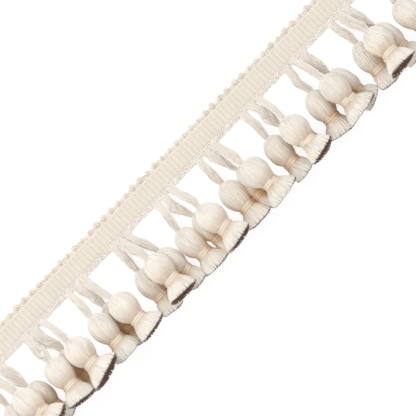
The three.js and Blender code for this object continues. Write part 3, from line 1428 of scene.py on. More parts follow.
@dataclass
class SoftCore:
    """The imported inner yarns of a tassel, a closed form just under the yarns that show.

    Attributes:
        form: The tassel's measured form.
        inset: How far it lies inside the tassel's surface, in millimetres.
        recess: How deep the brush of cut ends is sunk in the rim.
        around: Points in each of its rings.
        stations: The rings' distances from the crown.
        angles: The angles of a ring's points about the axis.
        rings: The points, ring by ring.
        sheltered: How sheltered each point is, from 0 to 1, once that has been found.
    """

    form: OnionForm
    inset: float = 0.5
    recess: float = 1.1
    around: int = 28
    stations: np.ndarray = field(init=False)
    angles: np.ndarray = field(init=False)
    rings: np.ndarray = field(init=False)
    sheltered: np.ndarray = field(init=False)

    def __post_init__(self) -> None:
        """Places the rings from crown to rim."""
        down_head = (1 - np.cos(math.pi * np.linspace(0.06, 1, 11))) / 2 * HEAD_LENGTH
        down_skirt = SKIRT_TOP + SKIRT_LENGTH * np.array([0.0, 0.12, 0.35, 0.62, 0.95])
        self.stations = np.concatenate([down_head, down_skirt])
        self.angles = np.arange(self.around) / self.around * TURN
        along, angle = np.meshgrid(self.stations, self.angles, indexing="ij")
        along[-1] -= self.form.cut_back(self.angles)
        self.rings = self.form.round_at(along, angle, self.inset)
        self.sheltered = np.zeros(along.shape)

    def wall(self) -> list[tuple[int, int, int, int]]:
        """Joins the rings.

        Returns:
            The faces between them, as numbers of their points.
        """
        n = self.around
        return [
            (r * n + k, r * n + (k + 1) % n, (r + 1) * n + (k + 1) % n, (r + 1) * n + k)
            for r in range(len(self.stations) - 1)
            for k in range(n)
        ]

    def shelter_at(self, along: np.ndarray, angle: np.ndarray) -> np.ndarray:
        """Reads how sheltered the surface is, between the points where that was found.

        Args:
            along: Distances from the crown.
            angle: Angles about the axis, one for each distance.

        Returns:
            A share from 0 in the open to 1 where no light reaches.
        """
        ring = np.interp(along, self.stations, np.arange(len(self.stations)))
        turn = (angle % TURN) / TURN * self.around
        r0 = np.minimum(ring.astype(int), len(self.stations) - 2)
        k0 = turn.astype(int) % self.around
        down, part_round = ring - r0, turn - np.floor(turn)
        k1 = (k0 + 1) % self.around
        near, far = (
            self.sheltered[ring, k0] * (1 - part_round) + self.sheltered[ring, k1] * part_round
            for ring in (r0, r0 + 1)
        )
        return near * (1 - down) + far * down

    def build(self, finishes: Finishes) -> Object:
        """Builds the core with a hollow in its end, where the brush of cut yarns stands.

        Args:
            finishes: The trim's materials.

        Returns:
            The core as an object.
        """
        n = self.around
        floor = TASSEL_LENGTH - self.recess - 1.0
        half_width, half_depth = self.form.press(np.array(floor))
        hollow = [
            self.form.place(
                np.full(n, floor),
                half_width * share * np.cos(self.angles),
                half_depth * share * np.sin(self.angles),
            )
            for share in (0.8, 0.4)
        ]
        ends = [self.form.place(np.array([along]), np.zeros(1), np.zeros(1)) for along in (0.15, floor)]
        points = np.concatenate([self.rings.reshape(-1, 3), *hollow, *ends])
        crown, middle = len(points) - 2, len(points) - 1
        wall = self.wall()
        rim = (len(self.stations) - 1) * n
        cup = [
            (r + k, r + (k + 1) % n, r + n + (k + 1) % n, r + n + k)
            for r in (rim, rim + n)
            for k in range(n)
        ]
        cup += [(middle, rim + 2 * n + k, rim + 2 * n + (k + 1) % n) for k in range(n)]
        top = [(crown, (k + 1) % n, k) for k in range(n)]
        mesh = bpy.data.meshes.new(f"core_{self.form.label}")
        mesh.from_pydata((points * MM).tolist(), [], wall + top + cup)
        # The core shows only between the yarns: it takes their shade colour and the warm painted shade where
        # sheltered, all painted shade; its hollow takes the brown of the cut.
        painted_shade = np.concatenate([self.sheltered.ravel(), np.full(len(points) - self.sheltered.size, 0.6)])
        note(mesh, "tone", np.full(len(points), 0.9))
        note(mesh, "painted_shade", painted_shade)
        mesh.shade_smooth()
        mesh.materials.append(finishes.tassel)
        mesh.materials.append(finishes.cut)
        for face in mesh.polygons[len(wall) + len(top) :]:
            face.material_index = 1
        return linked(mesh.name, mesh)


@dataclass
class Shelter:
    """How far the tassels shut each other off from the light.

    Yarns that lie deep between the tassels are painted warmer as shade, standing in for light that has
    already passed through other yarns.

    Attributes:
        cores: Every tassel's core.
        reach: How far away a neighbour still shelters a place, in millimetres.
        directions: How many directions are tried.
        clear: How far outside the surface the trial starts.
        table_share: How much shelter the white table gives, next to a neighbour's 1.
        under_share: How much more shelter a middle tassel has, which lies under both its neighbours.
    """

    cores: list[SoftCore]
    reach: float = 26.0
    directions: int = 44
    clear: float = 0.3
    table_share: float = 0.3
    under_share: float = 1.6

    def find(self) -> None:
        """Fills in each core's shelter, point by point."""
        surfaces, rays = self._surfaces(), self._rays()
        for core in self.cores:
            outward = core.rings - core.rings.mean(axis=1, keepdims=True)
            outward /= np.linalg.norm(outward, axis=2, keepdims=True)
            facing = np.clip(outward @ rays.T, 0, None)
            starts = core.rings + outward * self.clear
            share = self.under_share if core.form.label.endswith("_middle") else 1.0
            for r, k in np.ndindex(core.sheltered.shape):
                shut = self._shut(surfaces, Vector(starts[r, k]), rays, facing[r, k])
                core.sheltered[r, k] = min(shut * share, 1.0)

    def _surfaces(self) -> BVHTree:
        """Gathers every core's surface.

        Returns:
            The surfaces, ready for rays.
        """
        points = np.concatenate([core.rings.reshape(-1, 3) for core in self.cores])
        faces = []
        start = 0
        for core in self.cores:
            faces += [tuple(start + i for i in face) for face in core.wall()]
            start += core.rings.size // 3
        return BVHTree.FromPolygons([Vector(p) for p in points], faces)

    def _rays(self) -> np.ndarray:
        """Spreads the directions evenly over a sphere.

        Returns:
            A unit vector for each direction.
        """
        steps = np.arange(self.directions) + 0.5
        height = 1 - 2 * steps / self.directions
        turn = steps * math.pi * (3 - math.sqrt(5))
        flat = np.sqrt(1 - height**2)
        return np.stack([flat * np.cos(turn), flat * np.sin(turn), height], axis=1)

    def _shut(self, surfaces: BVHTree, start: Vector, rays: np.ndarray, weights: np.ndarray) -> float:
        """Finds how much of what a place faces is shut off.

        Args:
            surfaces: What may stand in the way.
            start: The place.
            rays: The directions.
            weights: How squarely the place faces each direction.

        Returns:
            A share from 0 to 1.
        """
        shut = 0.0
        for i in np.flatnonzero(weights > 0.1):
            if surfaces.ray_cast(start, Vector(rays[i]), self.reach)[0] is not None:
                shut += weights[i]
            elif rays[i, 2] < 0:
                shut += weights[i] * self.table_share
        return shut / weights.sum()


@dataclass
class OnionTassel(SubPart):
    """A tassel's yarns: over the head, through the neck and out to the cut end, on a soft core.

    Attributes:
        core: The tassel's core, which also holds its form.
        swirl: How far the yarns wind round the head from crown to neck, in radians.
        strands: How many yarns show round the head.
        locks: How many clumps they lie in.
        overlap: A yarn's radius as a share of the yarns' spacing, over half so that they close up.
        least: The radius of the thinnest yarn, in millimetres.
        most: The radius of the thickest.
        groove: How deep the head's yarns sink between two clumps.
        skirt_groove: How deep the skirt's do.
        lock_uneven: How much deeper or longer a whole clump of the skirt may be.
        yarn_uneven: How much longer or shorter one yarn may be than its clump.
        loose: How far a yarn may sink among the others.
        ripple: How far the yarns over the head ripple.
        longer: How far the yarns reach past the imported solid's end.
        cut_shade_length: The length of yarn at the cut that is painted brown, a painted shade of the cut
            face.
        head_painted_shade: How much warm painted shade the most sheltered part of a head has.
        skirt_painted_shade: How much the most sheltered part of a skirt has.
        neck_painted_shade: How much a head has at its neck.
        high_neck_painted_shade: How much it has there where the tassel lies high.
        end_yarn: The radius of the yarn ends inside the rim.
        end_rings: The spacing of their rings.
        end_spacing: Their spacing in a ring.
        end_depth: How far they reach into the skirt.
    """

    core: SoftCore
    swirl: float = 0.0
    strands: int = 84
    locks: int = 13
    overlap: float = 0.6
    least: float = 0.17
    most: float = 0.42
    groove: float = 0.26
    skirt_groove: float = 0.25
    lock_uneven: float = 0.14
    yarn_uneven: float = 0.07
    loose: float = 0.08
    ripple: float = 0.08
    longer: float = 0.25
    cut_shade_length: float = 0.65
    head_painted_shade: float = 0.95
    skirt_painted_shade: float = 0.6
    neck_painted_shade: float = 0.3
    high_neck_painted_shade: float = 0.46
    end_yarn: float = 0.3
    end_rings: float = 0.56
    end_spacing: float = 0.66
    end_depth: float = 3.8

    def build(self) -> None:
        """Builds the tassel as one piece."""
        form = self.core.form
        rng = np.random.default_rng(100 + form.index)
        yarns, finishes = self.shop.yarns, self.shop.finishes
        parts = [
            self._outer(rng).tubes(f"strands_{form.label}", yarns, finishes.tassel, 4),
            # The brush of yarn ends takes the cut's dull brown, a painted shade of the cut face.
            self._brush(rng).tubes(f"brush_{form.label}", yarns, finishes.cut, 4),
            self.core.build(finishes),
        ]
        settle(joined(f"onion_{form.label}", parts), Slot.TASSELS, f"tassel_{form.label}")

    def _outer(self, rng: np.random.Generator) -> YarnPaths:
        """Lays the yarns that show, from crown to cut end.

        Args:
            rng: What makes them uneven.

        Returns:
            The yarns.
        """
        form = self.core.form
        paths = YarnPaths()
        over_head = (1 - np.cos(math.pi * np.linspace(0.08, 1, 13))) / 2 * (HEAD_LENGTH + 0.3)
        down_skirt = SKIRT_TOP + SKIRT_LENGTH * np.linspace(0.02, 0.93, 5) ** 1.3
        at_cut = [TASSEL_LENGTH - self.cut_shade_length, TASSEL_LENGTH]
        along = np.concatenate([over_head, [SKIRT_TOP - 1.5], down_skirt, at_cut])
        half_width, half_depth = form.press(along)
        spacing = TURN * np.sqrt((half_width**2 + half_depth**2) / 2) / self.strands
        thick = np.clip(self.overlap * spacing, self.least, self.most)
        head_angles = even_angles(*form.head_half, self.strands)
        rim_angles = even_angles(*form.rim_half, self.strands)
        bounds = np.sort(rng.uniform(0, self.strands, self.locks))
        lock_sinks = rng.uniform(-self.lock_uneven, self.lock_uneven, self.locks)
        lock_ends = rng.uniform(-self.lock_uneven, self.lock_uneven, self.locks)
        fan = ease(along, HEAD_LENGTH, TASSEL_LENGTH)
        on_head = ease(along, 1.0, 4.0) * (1 - ease(along, HEAD_LENGTH - 1.5, HEAD_LENGTH + 0.3))
        on_skirt = ease(along, SKIRT_TOP, SKIRT_TOP + 3.0)
        from_end = TASSEL_LENGTH - along
        marks = [np.where(from_end < reach * self.cut_shade_length, 0.9, 0.0) for reach in (0.5, 1.5)]
        # Painted warm shade: low on the head where neighbours shelter it, among the skirts, and next to the
        # neck.
        low_down = 0.1 + 0.9 * ease(along, 5.0, HEAD_LENGTH - 1.0)
        neck_painted_shade = self.high_neck_painted_shade if form.lies_high else self.neck_painted_shade
        near_neck = neck_painted_shade * ease(along, 9.0, HEAD_LENGTH) * (1 - on_skirt)
        for k in range(self.strands):
            lock = np.searchsorted(bounds, k)
            first, last = bounds[lock - 1], bounds[lock % self.locks]
            span = (last - first) % self.strands or self.strands
            within = ((k - first) % self.strands) / span
            border = (2 * within - 1) ** 2
            wander = 0.04 * np.sin(along * rng.uniform(0.25, 0.5) + rng.uniform(0, TURN))
            angle = head_angles[k] * (1 - fan) + rim_angles[k] * fan + wander
            angle = angle + self.swirl * ease(along, 0.0, HEAD_LENGTH) + rng.normal(0, 0.012)
            sink = self.groove * border * on_head + abs(rng.normal(0, self.loose))
            sink = sink + (self.skirt_groove * border + lock_sinks[lock - 1]) * on_skirt
            ripple = self.ripple * np.sin(along * rng.uniform(0.5, 0.9) + rng.uniform(0, TURN)) * on_head
            length = SKIRT_LENGTH + self.longer - form.cut_back(rim_angles[k]) + lock_ends[lock - 1]
            stretch = (length + rng.uniform(-self.yarn_uneven, self.yarn_uneven)) / SKIRT_LENGTH
            cut = np.where(along > SKIRT_TOP, SKIRT_TOP + (along - SKIRT_TOP) * stretch, along)
            points = form.round_at(cut, angle, thick * 0.7 + sink + ripple)
            shelter = self.core.shelter_at(along, angle)
            among_heads = self.head_painted_shade * ease(shelter, 0.2, 0.9) * low_down * (1 - on_skirt)
            among_skirts = self.skirt_painted_shade * ease(shelter, 0.5, 0.95) * on_skirt
            painted_shade = np.minimum(np.hypot(among_heads + among_skirts, near_neck), 1.0)
            # Yarns at a clump's border are darker, a painted shade in the groove between clumps.
            tone = 0.7 * rng.beta(2, 4) + 0.15 * border * on_head + 0.1
            # The yarns underneath are painted brown further up than those on top, a painted shade on the
            # side away from the light.
            cut_shade = marks[int(math.sin(angle[-1]) < -0.15)]
            paths.lay(points, thick * rng.uniform(0.92, 1.08), tone=tone, painted_shade=painted_shade, cut=cut_shade)
        return paths

    def _brush(self, rng: np.random.Generator) -> YarnPaths:
        """Lays the short yarn ends that fill the rim, ring inside ring.

        Args:
            rng: What makes them uneven.

        Returns:
            The yarn ends.
        """
        form = self.core.form
        paths = YarnPaths()
        rim_width, rim_depth = form.press(np.array(TASSEL_LENGTH))
        for ring in range(8):
            inset = 1.0 + self.end_rings * ring
            if inset > rim_depth - 0.2:
                break
            round_ring = TURN * math.sqrt(((rim_width - inset) ** 2 + (rim_depth - inset) ** 2) / 2)
            count = int(round_ring / self.end_spacing)
            for angle in even_angles(rim_width - inset, rim_depth - inset, count):
                turned = angle + rng.normal(0, 0.03)
                deep = 0.25 + 0.12 * ring + rng.uniform(0, 0.45)
                deep = deep + form.cut_back(angle) * (1 - 0.1 * ring)
                along = np.array([TASSEL_LENGTH - self.end_depth, TASSEL_LENGTH - deep])
                points = form.round_at(along, np.full(2, turned), inset + rng.normal(0, 0.08))
                paths.lay(points, self.end_yarn, tone=rng.uniform(0, 1))
        return paths


@dataclass
class NeckBinding(SubPart):
    """The thread wound round a tassel's neck.

    Attributes:
        core: The tassel's core, which also holds its form.
        turns: How many turns of thread show. The real thread is 0.4 mm thick and wound in several layers.
            It is drawn coarser, so that its turns show.
        pitch: Their spacing, in millimetres.
        thread: The radius of a turn.
        stands_out: How far its middle stands out from the neck.
        under: The radius of the thread of the layer below, which shows between the turns in the shade
            colour, a painted shade.
        steps: Points in one turn.
    """

    core: SoftCore
    turns: int = 2
    pitch: float = 1.35
    thread: float = 0.52
    stands_out: float = 0.05
    under: float = 0.45
    steps: int = 30

    def build(self) -> None:
        """Builds the winding as one piece."""
        form = self.core.form
        rng = np.random.default_rng(300 + form.index)
        start, tilt = rng.uniform(0, TURN), rng.uniform(-0.2, 0.2)
        first = HEAD_LENGTH + (BIND_LENGTH - self.turns * self.pitch) / 2
        half_width, half_depth = form.press(np.array(SKIRT_TOP - 0.6))
        paths = YarnPaths()
        # The layer below takes the shade colour, and both layers a warm painted shade where the neck is
        # sheltered.
        for turns, thread, lift, tone in (
            (self.turns, self.thread, self.stands_out, rng.uniform(0, 0.3)),
            (self.turns + 1, self.under, self.stands_out - 0.1, 1.0),
        ):
            wound = np.linspace(0, turns, turns * self.steps + 1)
            angle = start + wound * TURN
            along = first + (wound - (turns - self.turns) / 2) * self.pitch + tilt * np.cos(angle)
            slack = 0.06 * np.sin(angle * 0.31 + rng.uniform(0, TURN)) + 0.04 * np.sin(angle * 1.7)
            out = lift + slack
            across, up = (half_width + out) * np.cos(angle), (half_depth + out) * np.sin(angle)
            points = form.place(along, across, up)
            sheltered = ease(self.core.shelter_at(np.full(len(angle), HEAD_LENGTH), angle), 0.2, 0.7)
            paths.lay(points, thread, tone=tone, painted_shade=np.minimum(0.85 * sheltered + 0.3 * tone**4, 1.0))
        piece = paths.tubes(f"wound_neck_{form.label}", self.shop.yarns, self.shop.finishes.thread, 6)
        settle(piece, Slot.BINDINGS, f"binding_{form.label}")


# ---- Hangers ----


class HangerHabit(Enum):
    """How the yarns of a hanger lie: together, or parted by a slit or a stray yarn."""

    TOGETHER = "together"
    PARTED = "parted"
    STRAY_LEFT = "stray_left"
    SLIT_LEFT = "slit_left"
    SLIT_LOW = "slit_low"


@dataclass(frozen=True)
class HangerCourse:
    """How one hanger runs from the edge row to its tassel, read at five heights.

    Attributes:
        middles: The bundle's middle, from the middle of its group, in millimetres.
        widths: The bundle's width.
        habit: How its yarns lie.
    """

    middles: tuple[float, ...]
    widths: tuple[float, ...]
    habit: HangerHabit = HangerHabit.TOGETHER


COURSE_HEIGHTS = (-9.0, -13.4, -17.8, -22.3, -25.8)  # Y of the five places, in millimetres

COURSES = {
    "01_left": HangerCourse((-5.6, -5.4, -5.3, -5.2, -5.2), (4.2, 4.0, 3.9, 3.6, 2.6)),
    "01_middle": HangerCourse((0.0, 0.5, 1.6, 2.8, 2.9), (4.5, 4.5, 4.7, 4.5, 3.5)),
    "01_right": HangerCourse((6.6, 7.6, 8.4, 8.5, 9.4), (4.8, 6.5, 6.6, 5.3, 2.6)),
    "02_left": HangerCourse((-5.9, -6.1, -6.0, -5.8, -5.6), (4.6, 5.2, 6.2, 5.9, 3.0), HangerHabit.PARTED),
    "02_middle": HangerCourse((0.4, -0.1, 0.6, 3.1, 3.2), (5.1, 5.9, 6.0, 4.1, 3.2), HangerHabit.STRAY_LEFT),
    "02_right": HangerCourse((6.0, 7.9, 8.3, 8.7, 8.6), (4.2, 3.0, 3.4, 3.7, 3.1)),
    "03_left": HangerCourse((-6.4, -6.3, -6.1, -6.5, -7.0), (4.2, 3.7, 4.1, 4.1, 3.2)),
    "03_middle": HangerCourse((-0.2, 0.1, 2.1, 2.3, 2.4), (4.5, 4.3, 3.5, 3.7, 2.7), HangerHabit.STRAY_LEFT),
    "03_right": HangerCourse((4.9, 4.9, 6.0, 6.8, 7.7), (5.1, 4.6, 4.0, 3.9, 2.8)),
    "04_left": HangerCourse((-5.2, -5.2, -5.2, -5.5, -5.4), (4.3, 4.0, 4.3, 3.9, 2.7)),
    "04_middle": HangerCourse((-0.7, -0.2, 1.0, 2.7, 3.1), (4.8, 5.4, 5.4, 4.1, 3.0)),
    "04_right": HangerCourse((4.7, 5.3, 7.1, 8.5, 9.7), (4.9, 3.9, 5.0, 4.1, 2.6)),
    "05_left": HangerCourse((-6.3, -6.3, -7.1, -7.8, -8.3), (4.5, 3.7, 4.0, 3.8, 2.9)),
    "05_middle": HangerCourse(
        (-0.6, -0.8, -0.5, 1.1, 2.4), (4.6, 4.5, 5.7, 4.3, 2.5), HangerHabit.SLIT_LEFT
    ),
    "05_right": HangerCourse((5.2, 6.0, 7.5, 8.5, 8.3), (4.6, 4.1, 4.8, 4.1, 3.0)),
    "06_left": HangerCourse((-7.1, -7.7, -7.7, -7.9, -7.5), (4.3, 4.0, 4.7, 4.3, 2.8)),
    "06_middle": HangerCourse((-0.8, -0.2, 1.1, 2.2, 3.1), (5.0, 5.4, 4.6, 3.3, 2.2), HangerHabit.SLIT_LOW),
    "06_right": HangerCourse((4.7, 5.2, 6.4, 7.2, 7.3), (5.1, 5.0, 5.3, 4.9, 3.4)),
    "07_left": HangerCourse((-6.5, -6.2, -5.8, -6.4, -6.6), (4.5, 4.4, 4.2, 3.9, 2.9)),
    "07_middle": HangerCourse((-0.4, 1.8, 2.2, 2.6, 2.9), (4.7, 4.3, 5.1, 4.6, 3.0), HangerHabit.STRAY_LEFT),
    "07_right": HangerCourse((5.5, 6.0, 6.8, 6.8, 7.1), (3.8, 3.5, 3.4, 3.3, 2.3)),
    "08_left": HangerCourse((-6.1, -6.7, -7.6, -6.6, -6.0), (4.4, 4.5, 4.6, 4.1, 3.2)),
    "08_middle": HangerCourse((-0.4, 1.0, 2.0, 2.5, 2.7), (4.6, 4.2, 4.1, 3.9, 2.9)),
    "08_right": HangerCourse((5.5, 6.2, 6.8, 7.3, 7.5), (4.3, 5.3, 5.8, 4.6, 2.6)),
    "09_left": HangerCourse(
        (-6.0, -5.5, -4.4, -4.1, -4.2), (4.3, 4.1, 4.3, 3.7, 2.7), HangerHabit.SLIT_LEFT
    ),
    "09_middle": HangerCourse((0.0, 1.5, 2.4, 4.2, 4.4), (5.4, 6.4, 6.4, 5.4, 3.3)),
    "09_right": HangerCourse((5.3, 6.8, 7.9, 8.2, 8.6), (4.7, 4.8, 4.3, 3.7, 2.9)),
    "10_left": HangerCourse((-5.6, -6.0, -6.4, -7.0, -7.5), (4.3, 4.1, 4.1, 3.7, 2.7)),
}


def flowing(stations: np.ndarray, values: np.ndarray, at: np.ndarray) -> np.ndarray:
    """Draws a smooth line through values.

    Args:
        stations: Where the values are, in rising order.
        values: The values.
        at: Where the line is wanted.

    Returns:
        The line's value at each place.
    """
    slopes = np.gradient(values, stations)
    k = np.clip(np.searchsorted(stations, at, side="right") - 1, 0, len(stations) - 2)
    gap = stations[k + 1] - stations[k]
    t = np.clip((at - stations[k]) / gap, 0, 1)
    start = (1 + 2 * t) * (1 - t) ** 2 * values[k] + t * (1 - t) ** 2 * gap * slopes[k]
    return start + t**2 * (3 - 2 * t) * values[k + 1] + t**2 * (t - 1) * gap * slopes[k + 1]


@dataclass
class Hanger:
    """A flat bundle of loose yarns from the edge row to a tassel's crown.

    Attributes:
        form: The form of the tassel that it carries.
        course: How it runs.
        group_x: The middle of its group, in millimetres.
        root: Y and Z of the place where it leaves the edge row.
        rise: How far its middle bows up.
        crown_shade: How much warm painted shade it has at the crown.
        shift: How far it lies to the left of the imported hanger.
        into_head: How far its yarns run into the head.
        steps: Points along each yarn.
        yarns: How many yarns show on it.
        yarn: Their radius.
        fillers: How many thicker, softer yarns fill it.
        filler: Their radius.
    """

    form: OnionForm
    course: HangerCourse
    group_x: float
    root: tuple[float, float]
    rise: float
    crown_shade: float
    shift: float = 0.05
    into_head: float = 1.6
    steps: int = 19
    yarns: int = 15
    yarn: float = 0.27
    fillers: int = 5
    filler: float = 0.5

    def lay_in(self, paths: YarnPaths) -> None:
        """Adds the hanger's yarns to others.

        Args:
            paths: Where the yarns are gathered.
        """
        rng = np.random.default_rng(500 + self.form.index)
        t = np.linspace(0, 1, self.steps)
        end = self.form.crown + self.into_head * self.form.head_axes[1]
        y = self.root[0] + (end[1] - self.root[0]) * t
        last = 0.5 * (self.group_x + self.course.middles[-1] + end[0])
        stations = -np.array([self.root[0], *COURSE_HEIGHTS[1:], min(end[1], COURSE_HEIGHTS[-1] - 1.0)])
        middles = np.array([*(self.group_x - self.shift + m for m in self.course.middles), last])
        widths = np.array([*self.course.widths, 2.2])
        middle = flowing(stations, middles, -y)
        half_width = flowing(stations, widths, -y) / 2 + 0.25
        z = self.root[1] + (end[2] - self.root[1]) * t + self.rise * np.sin(math.pi * t)
        half_depth = 0.35 + 0.45 * ease(t, 0.0, 0.9)
        twist = rng.uniform(0.8, 2.2) * rng.choice([-1, 1])
        # A warm painted shade grows towards the crown, where the hanger dips among the tassels, and the
        # fillers under the yarns that show take a darker tone as painted shade.
        painted_shade = self.crown_shade * ease(t, 0.1, 1.0)
        for k in range(self.fillers):
            side = 1.5 * ((k + 0.5) / self.fillers - 0.5)
            x = middle + side * (half_width - self.filler * 0.6) + self._parting(side, t)
            points = np.stack([x, y, np.maximum(z, self.filler)], axis=1)
            paths.lay(points, self.filler, tone=0.75, painted_shade=painted_shade)
        for k in range(self.yarns):
            turn = (k + 0.5) / self.yarns * TURN + twist * t + 0.3 * np.sin(t * 9 + rng.uniform(0, TURN))
            side = np.cos(turn)
            kink = 0.07 * np.sin(t * rng.uniform(16, 28) + rng.uniform(0, TURN))
            x = middle + side * (half_width - self.yarn) + kink + self._parting(side, t)
            up = np.sin(turn) * (half_depth + 0.12) + rng.uniform(-0.1, 0.1)
            points = np.stack([x, y, np.maximum(z + up, self.yarn)], axis=1)
            paths.lay(points, self.yarn * rng.uniform(0.85, 1.12), tone=0.8 * rng.beta(2, 4), painted_shade=painted_shade)
        if self.course.habit is HangerHabit.STRAY_LEFT:
            out = 1.0 * np.sin(math.pi * ease(t, 0.25, 0.95)) ** 1.5
            for shift in (0.0, 0.35):
                points = np.stack([middle - half_width - out + shift, y, np.maximum(z, self.yarn)], axis=1)
                paths.lay(points, self.yarn, tone=0.6, painted_shade=painted_shade)

    def _parting(self, side: np.ndarray | float, t: np.ndarray) -> np.ndarray:
        """Returns how far a yarn is pushed aside along the hanger.

        Args:
            side: Where the yarn lies in the hanger, from -1 to 1.
            t: Shares of the hanger's length.

        Returns:
            The push towards +X at each share.
        """
        habit = self.course.habit
        if habit is HangerHabit.PARTED:
            push = 0.9 * np.sign(side - 0.12) * (1 - np.abs(side))
            return push * np.sin(math.pi * ease(t, 0.35, 0.85)) ** 2
        if habit is HangerHabit.SLIT_LEFT:
            push = -0.55 * (side < -0.45)
            return push * np.sin(math.pi * ease(t, 0.15, 0.75)) ** 2
        if habit is HangerHabit.SLIT_LOW:
            push = 0.8 * np.sign(side) * (1 - np.abs(side))
            return push * np.sin(math.pi * ease(t, 0.6, 1.0)) ** 2
        return np.zeros(len(t))


@dataclass
class HangerFringe(SubPart):
    """Every hanger of the trim.

    Attributes:
        forms: The tassels' forms.
        tape_low: The tape's lowest corner, in millimetres.
        tape_high: Its highest corner.
        row_low: How far the edge row reaches towards the tassels.
        lap: How far the hangers reach under the edge row.
        height: The height at which they leave it.
        on_top: How far a hanger bows up, and its warm painted shade at the crown, where its tassel lies
            high.
        underneath: The same where its tassel lies low.
    """

    forms: list[OnionForm]
    tape_low: np.ndarray
    tape_high: np.ndarray
    row_low: float
    lap: float = 1.4
    height: float = 0.95
    on_top: tuple[float, float] = (0.3, 0.05)
    underneath: tuple[float, float] = (0.9, 0.16)

    def group_x(self, form: OnionForm) -> float:
        """Finds the middle of a tassel's group along the trim.

        Args:
            form: The tassel's form.

        Returns:
            Its X, in millimetres.
        """
        rib = (self.tape_high[0] - self.tape_low[0]) / RIBS
        number = int(form.label.split("_")[0])
        picot = (number - 1) * PICOTS_PER_GROUP + 1
        return self.tape_low[0] + (END_RIBS + picot * RIBS_PER_PICOT) * rib

    def build(self) -> None:
        """Builds all the hangers as one piece."""
        paths = YarnPaths()
        root = (self.row_low + self.lap, self.height)
        for form in self.forms:
            rise, crown_shade = self.on_top if form.lies_high else self.underneath
            Hanger(form, COURSES[form.label], self.group_x(form), root, rise, crown_shade).lay_in(paths)
        piece = paths.tubes("hanger_yarns", self.shop.yarns, self.shop.finishes.hanger, 5)
        settle(piece, Slot.HANGERS, "hanger_fringe")


# ---- The trim and the studio ----


@dataclass
class TasselTrim:
    """The whole trim, sub-assembly by sub-assembly.

    Attributes:
        swirls: The tassels whose yarns wind clearly round the head, in radians.
        plain_swirl: How far the other tassels' yarns wind.
        row_depth: How far the edge row's loops reach down from the fringe's upper edge, in millimetres.
    """

    swirls: dict[str, float] = field(
        default_factory=lambda: {"09_middle": -0.75, "08_middle": 0.3, "04_middle": -0.2, "06_right": 0.2}
    )
    plain_swirl: float = 0.05
    row_depth: float = 2.95

    def build(self) -> None:
        """Builds and fixes every piece."""
        shop = Workshop(Finishes.made(), yarn_tree(), loop_row_tree())
        tape_low, tape_high = box_mm("heading_tape")
        fringe_low, fringe_high = box_mm("hanger_fringe")
        HeadingTape(shop, tape_low, tape_high).build()
        PicotEdging(shop, *box_mm("picot_edging"), tape_low, tape_high).build()
        EdgeRow(shop, fringe_low, fringe_high).build()
        labels = sorted(n.removeprefix("tassel_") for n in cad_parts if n.startswith("tassel_"))
        forms = [OnionForm.measured(label) for label in labels]
        HangerFringe(shop, forms, tape_low, tape_high, fringe_high[1] - self.row_depth).build()
        cores = [SoftCore(form) for form in forms]
        Shelter(cores).find()
        for core in cores:
            OnionTassel(shop, core, swirl=self.swirls.get(core.form.label, self.plain_swirl)).build()
            NeckBinding(shop, core).build()


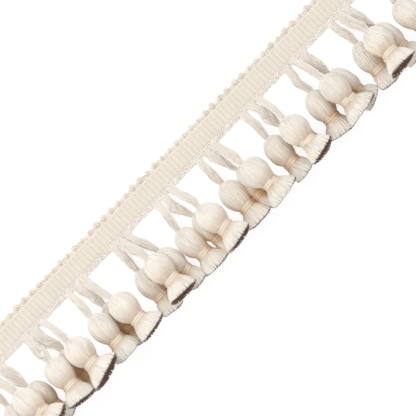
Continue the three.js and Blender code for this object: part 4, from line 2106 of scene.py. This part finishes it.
@dataclass
class Studio:
    """A white table under soft light, seen almost straight from above.

    Attributes:
        aim: The point that the camera looks at, in millimetres.
        distance: How far the camera is from it.
        lens: The focal length on a 36 mm wide sensor.
        tilt: How far the camera stands from straight above, towards the tassels, in degrees.
        roll: How far the trim rises to the right in the picture, in degrees.
        key: The power of the lamp on the picots' side, in watts.
        fill: The power of the larger lamp on the tassels' side.
        room: How strong the even light from all round is.
        table_white: How much light the table gives back to the trim.
        table_shade: How much of its white in the picture a shadow can take away.
        table_glow: How much of its white no shadow takes away.
    """

    aim: tuple[float, float, float] = (0.2, -29.6, 0.0)
    distance: float = 3600.0
    lens: float = 577.0
    tilt: float = 6.0
    roll: float = 45.95
    key: float = 8.8
    fill: float = 3.7
    room: float = 0.95
    table_white: float = 0.85
    table_shade: float = 0.16
    table_glow: float = 0.88

    def build(self) -> None:
        """Sets up the camera, the lamps, the world and the table."""
        self._camera()
        self._lamp("key", (-350, 900, 1000), 600, self.key)
        self._lamp("fill", (300, -900, 900), 900, self.fill)
        self._world()
        self._table()
        bpy.context.scene.view_settings.view_transform = "Standard"

    def _camera(self) -> None:
        """Places the camera at the picture's angle."""
        tilt, roll = math.radians(self.tilt), math.radians(self.roll)
        back = Vector((0, -math.sin(tilt), math.cos(tilt)))
        upward = Vector((0, math.cos(tilt), math.sin(tilt)))
        along = Vector((1, 0, 0))
        right = along * math.cos(roll) - upward * math.sin(roll)
        top = along * math.sin(roll) + upward * math.cos(roll)
        data = bpy.data.cameras.new("camera")
        data.sensor_width = 36.0
        data.lens = self.lens
        camera = bpy.data.objects.new("camera", data)
        bpy.context.scene.collection.objects.link(camera)
        turn = Matrix((right, top, back)).transposed().to_4x4()
        camera.matrix_world = Matrix.Translation((Vector(self.aim) + back * self.distance) * MM) @ turn
        bpy.context.scene.camera = camera

    def _lamp(self, name: str, place: tuple[float, float, float], size: float, power: float) -> None:
        """Adds a soft square lamp that points at the trim.

        Args:
            name: The lamp's name.
            place: Where it hangs, in millimetres.
            size: The length of its side, in millimetres.
            power: Its power in watts.
        """
        data = bpy.data.lights.new(name, "AREA")
        data.shape = "SQUARE"
        data.size = size * MM
        data.energy = power
        lamp = bpy.data.objects.new(name, data)
        bpy.context.scene.collection.objects.link(lamp)
        spot = Vector(place) * MM
        lamp.location = spot
        lamp.rotation_euler = (Vector(self.aim) * MM - spot).to_track_quat("-Z", "Y").to_euler()

    def _world(self) -> None:
        """Fills the room with even white light, and shows white behind the table."""
        world = bpy.data.worlds.new("studio")
        tree = cleared(world)
        path = add_node(tree, "ShaderNodeLightPath")
        level = add_node(
            tree,
            "ShaderNodeMix",
            {"Factor_Float": path.outputs["Is Camera Ray"], "A_Float": self.room, "B_Float": 1.0},
            data_type="FLOAT",
        )
        back = add_node(tree, "ShaderNodeBackground", {"Strength": socket_of(level.outputs, "Result_Float")})
        add_node(tree, "ShaderNodeOutputWorld", {"Surface": back.outputs["Background"]})
        bpy.context.scene.world = world

    def _table(self, half: float = 3.0) -> None:
        """Lays the white table, which shows white in the picture and keeps a faint shadow.

        Args:
            half: Half the length of its side, in metres.
        """
        mesh = bpy.data.meshes.new("table")
        corners = [(-half, -half, 0), (half, -half, 0), (half, half, 0), (-half, half, 0)]
        mesh.from_pydata(corners, [], [(0, 1, 2, 3)])
        material = bpy.data.materials.new("white table")
        tree = cleared(material)
        path = add_node(tree, "ShaderNodeLightPath").outputs
        seen = add_node(
            tree,
            "ShaderNodeMath",
            {"Value": path["Is Camera Ray"], "Value_001": path["Is Glossy Ray"]},
            operation="MAXIMUM",
        )
        lit, shadowed = (
            add_node(tree, "ShaderNodeBsdfDiffuse", {"Color": (grey, grey, grey, 1.0)}).outputs["BSDF"]
            for grey in (self.table_white, self.table_shade)
        )
        plain_white = {"Color": (1.0, 1.0, 1.0, 1.0), "Strength": self.table_glow}
        glow = add_node(tree, "ShaderNodeEmission", plain_white)
        shown = add_node(
            tree, "ShaderNodeAddShader", {"Shader": shadowed, "Shader_001": glow.outputs["Emission"]}
        )
        mixed = add_node(
            tree,
            "ShaderNodeMixShader",
            {"Fac": seen.outputs["Value"], "Shader": lit, "Shader_001": shown.outputs["Shader"]},
        )
        add_node(tree, "ShaderNodeOutputMaterial", {"Surface": mixed.outputs["Shader"]})
        mesh.materials.append(material)
        linked("table", mesh)


def main() -> None:
    """Builds the studio and the trim."""
    logging.basicConfig(level=logging.INFO, format="%(message)s")
    Studio().build()
    TasselTrim().build()


if __name__ == "__main__":
    main()
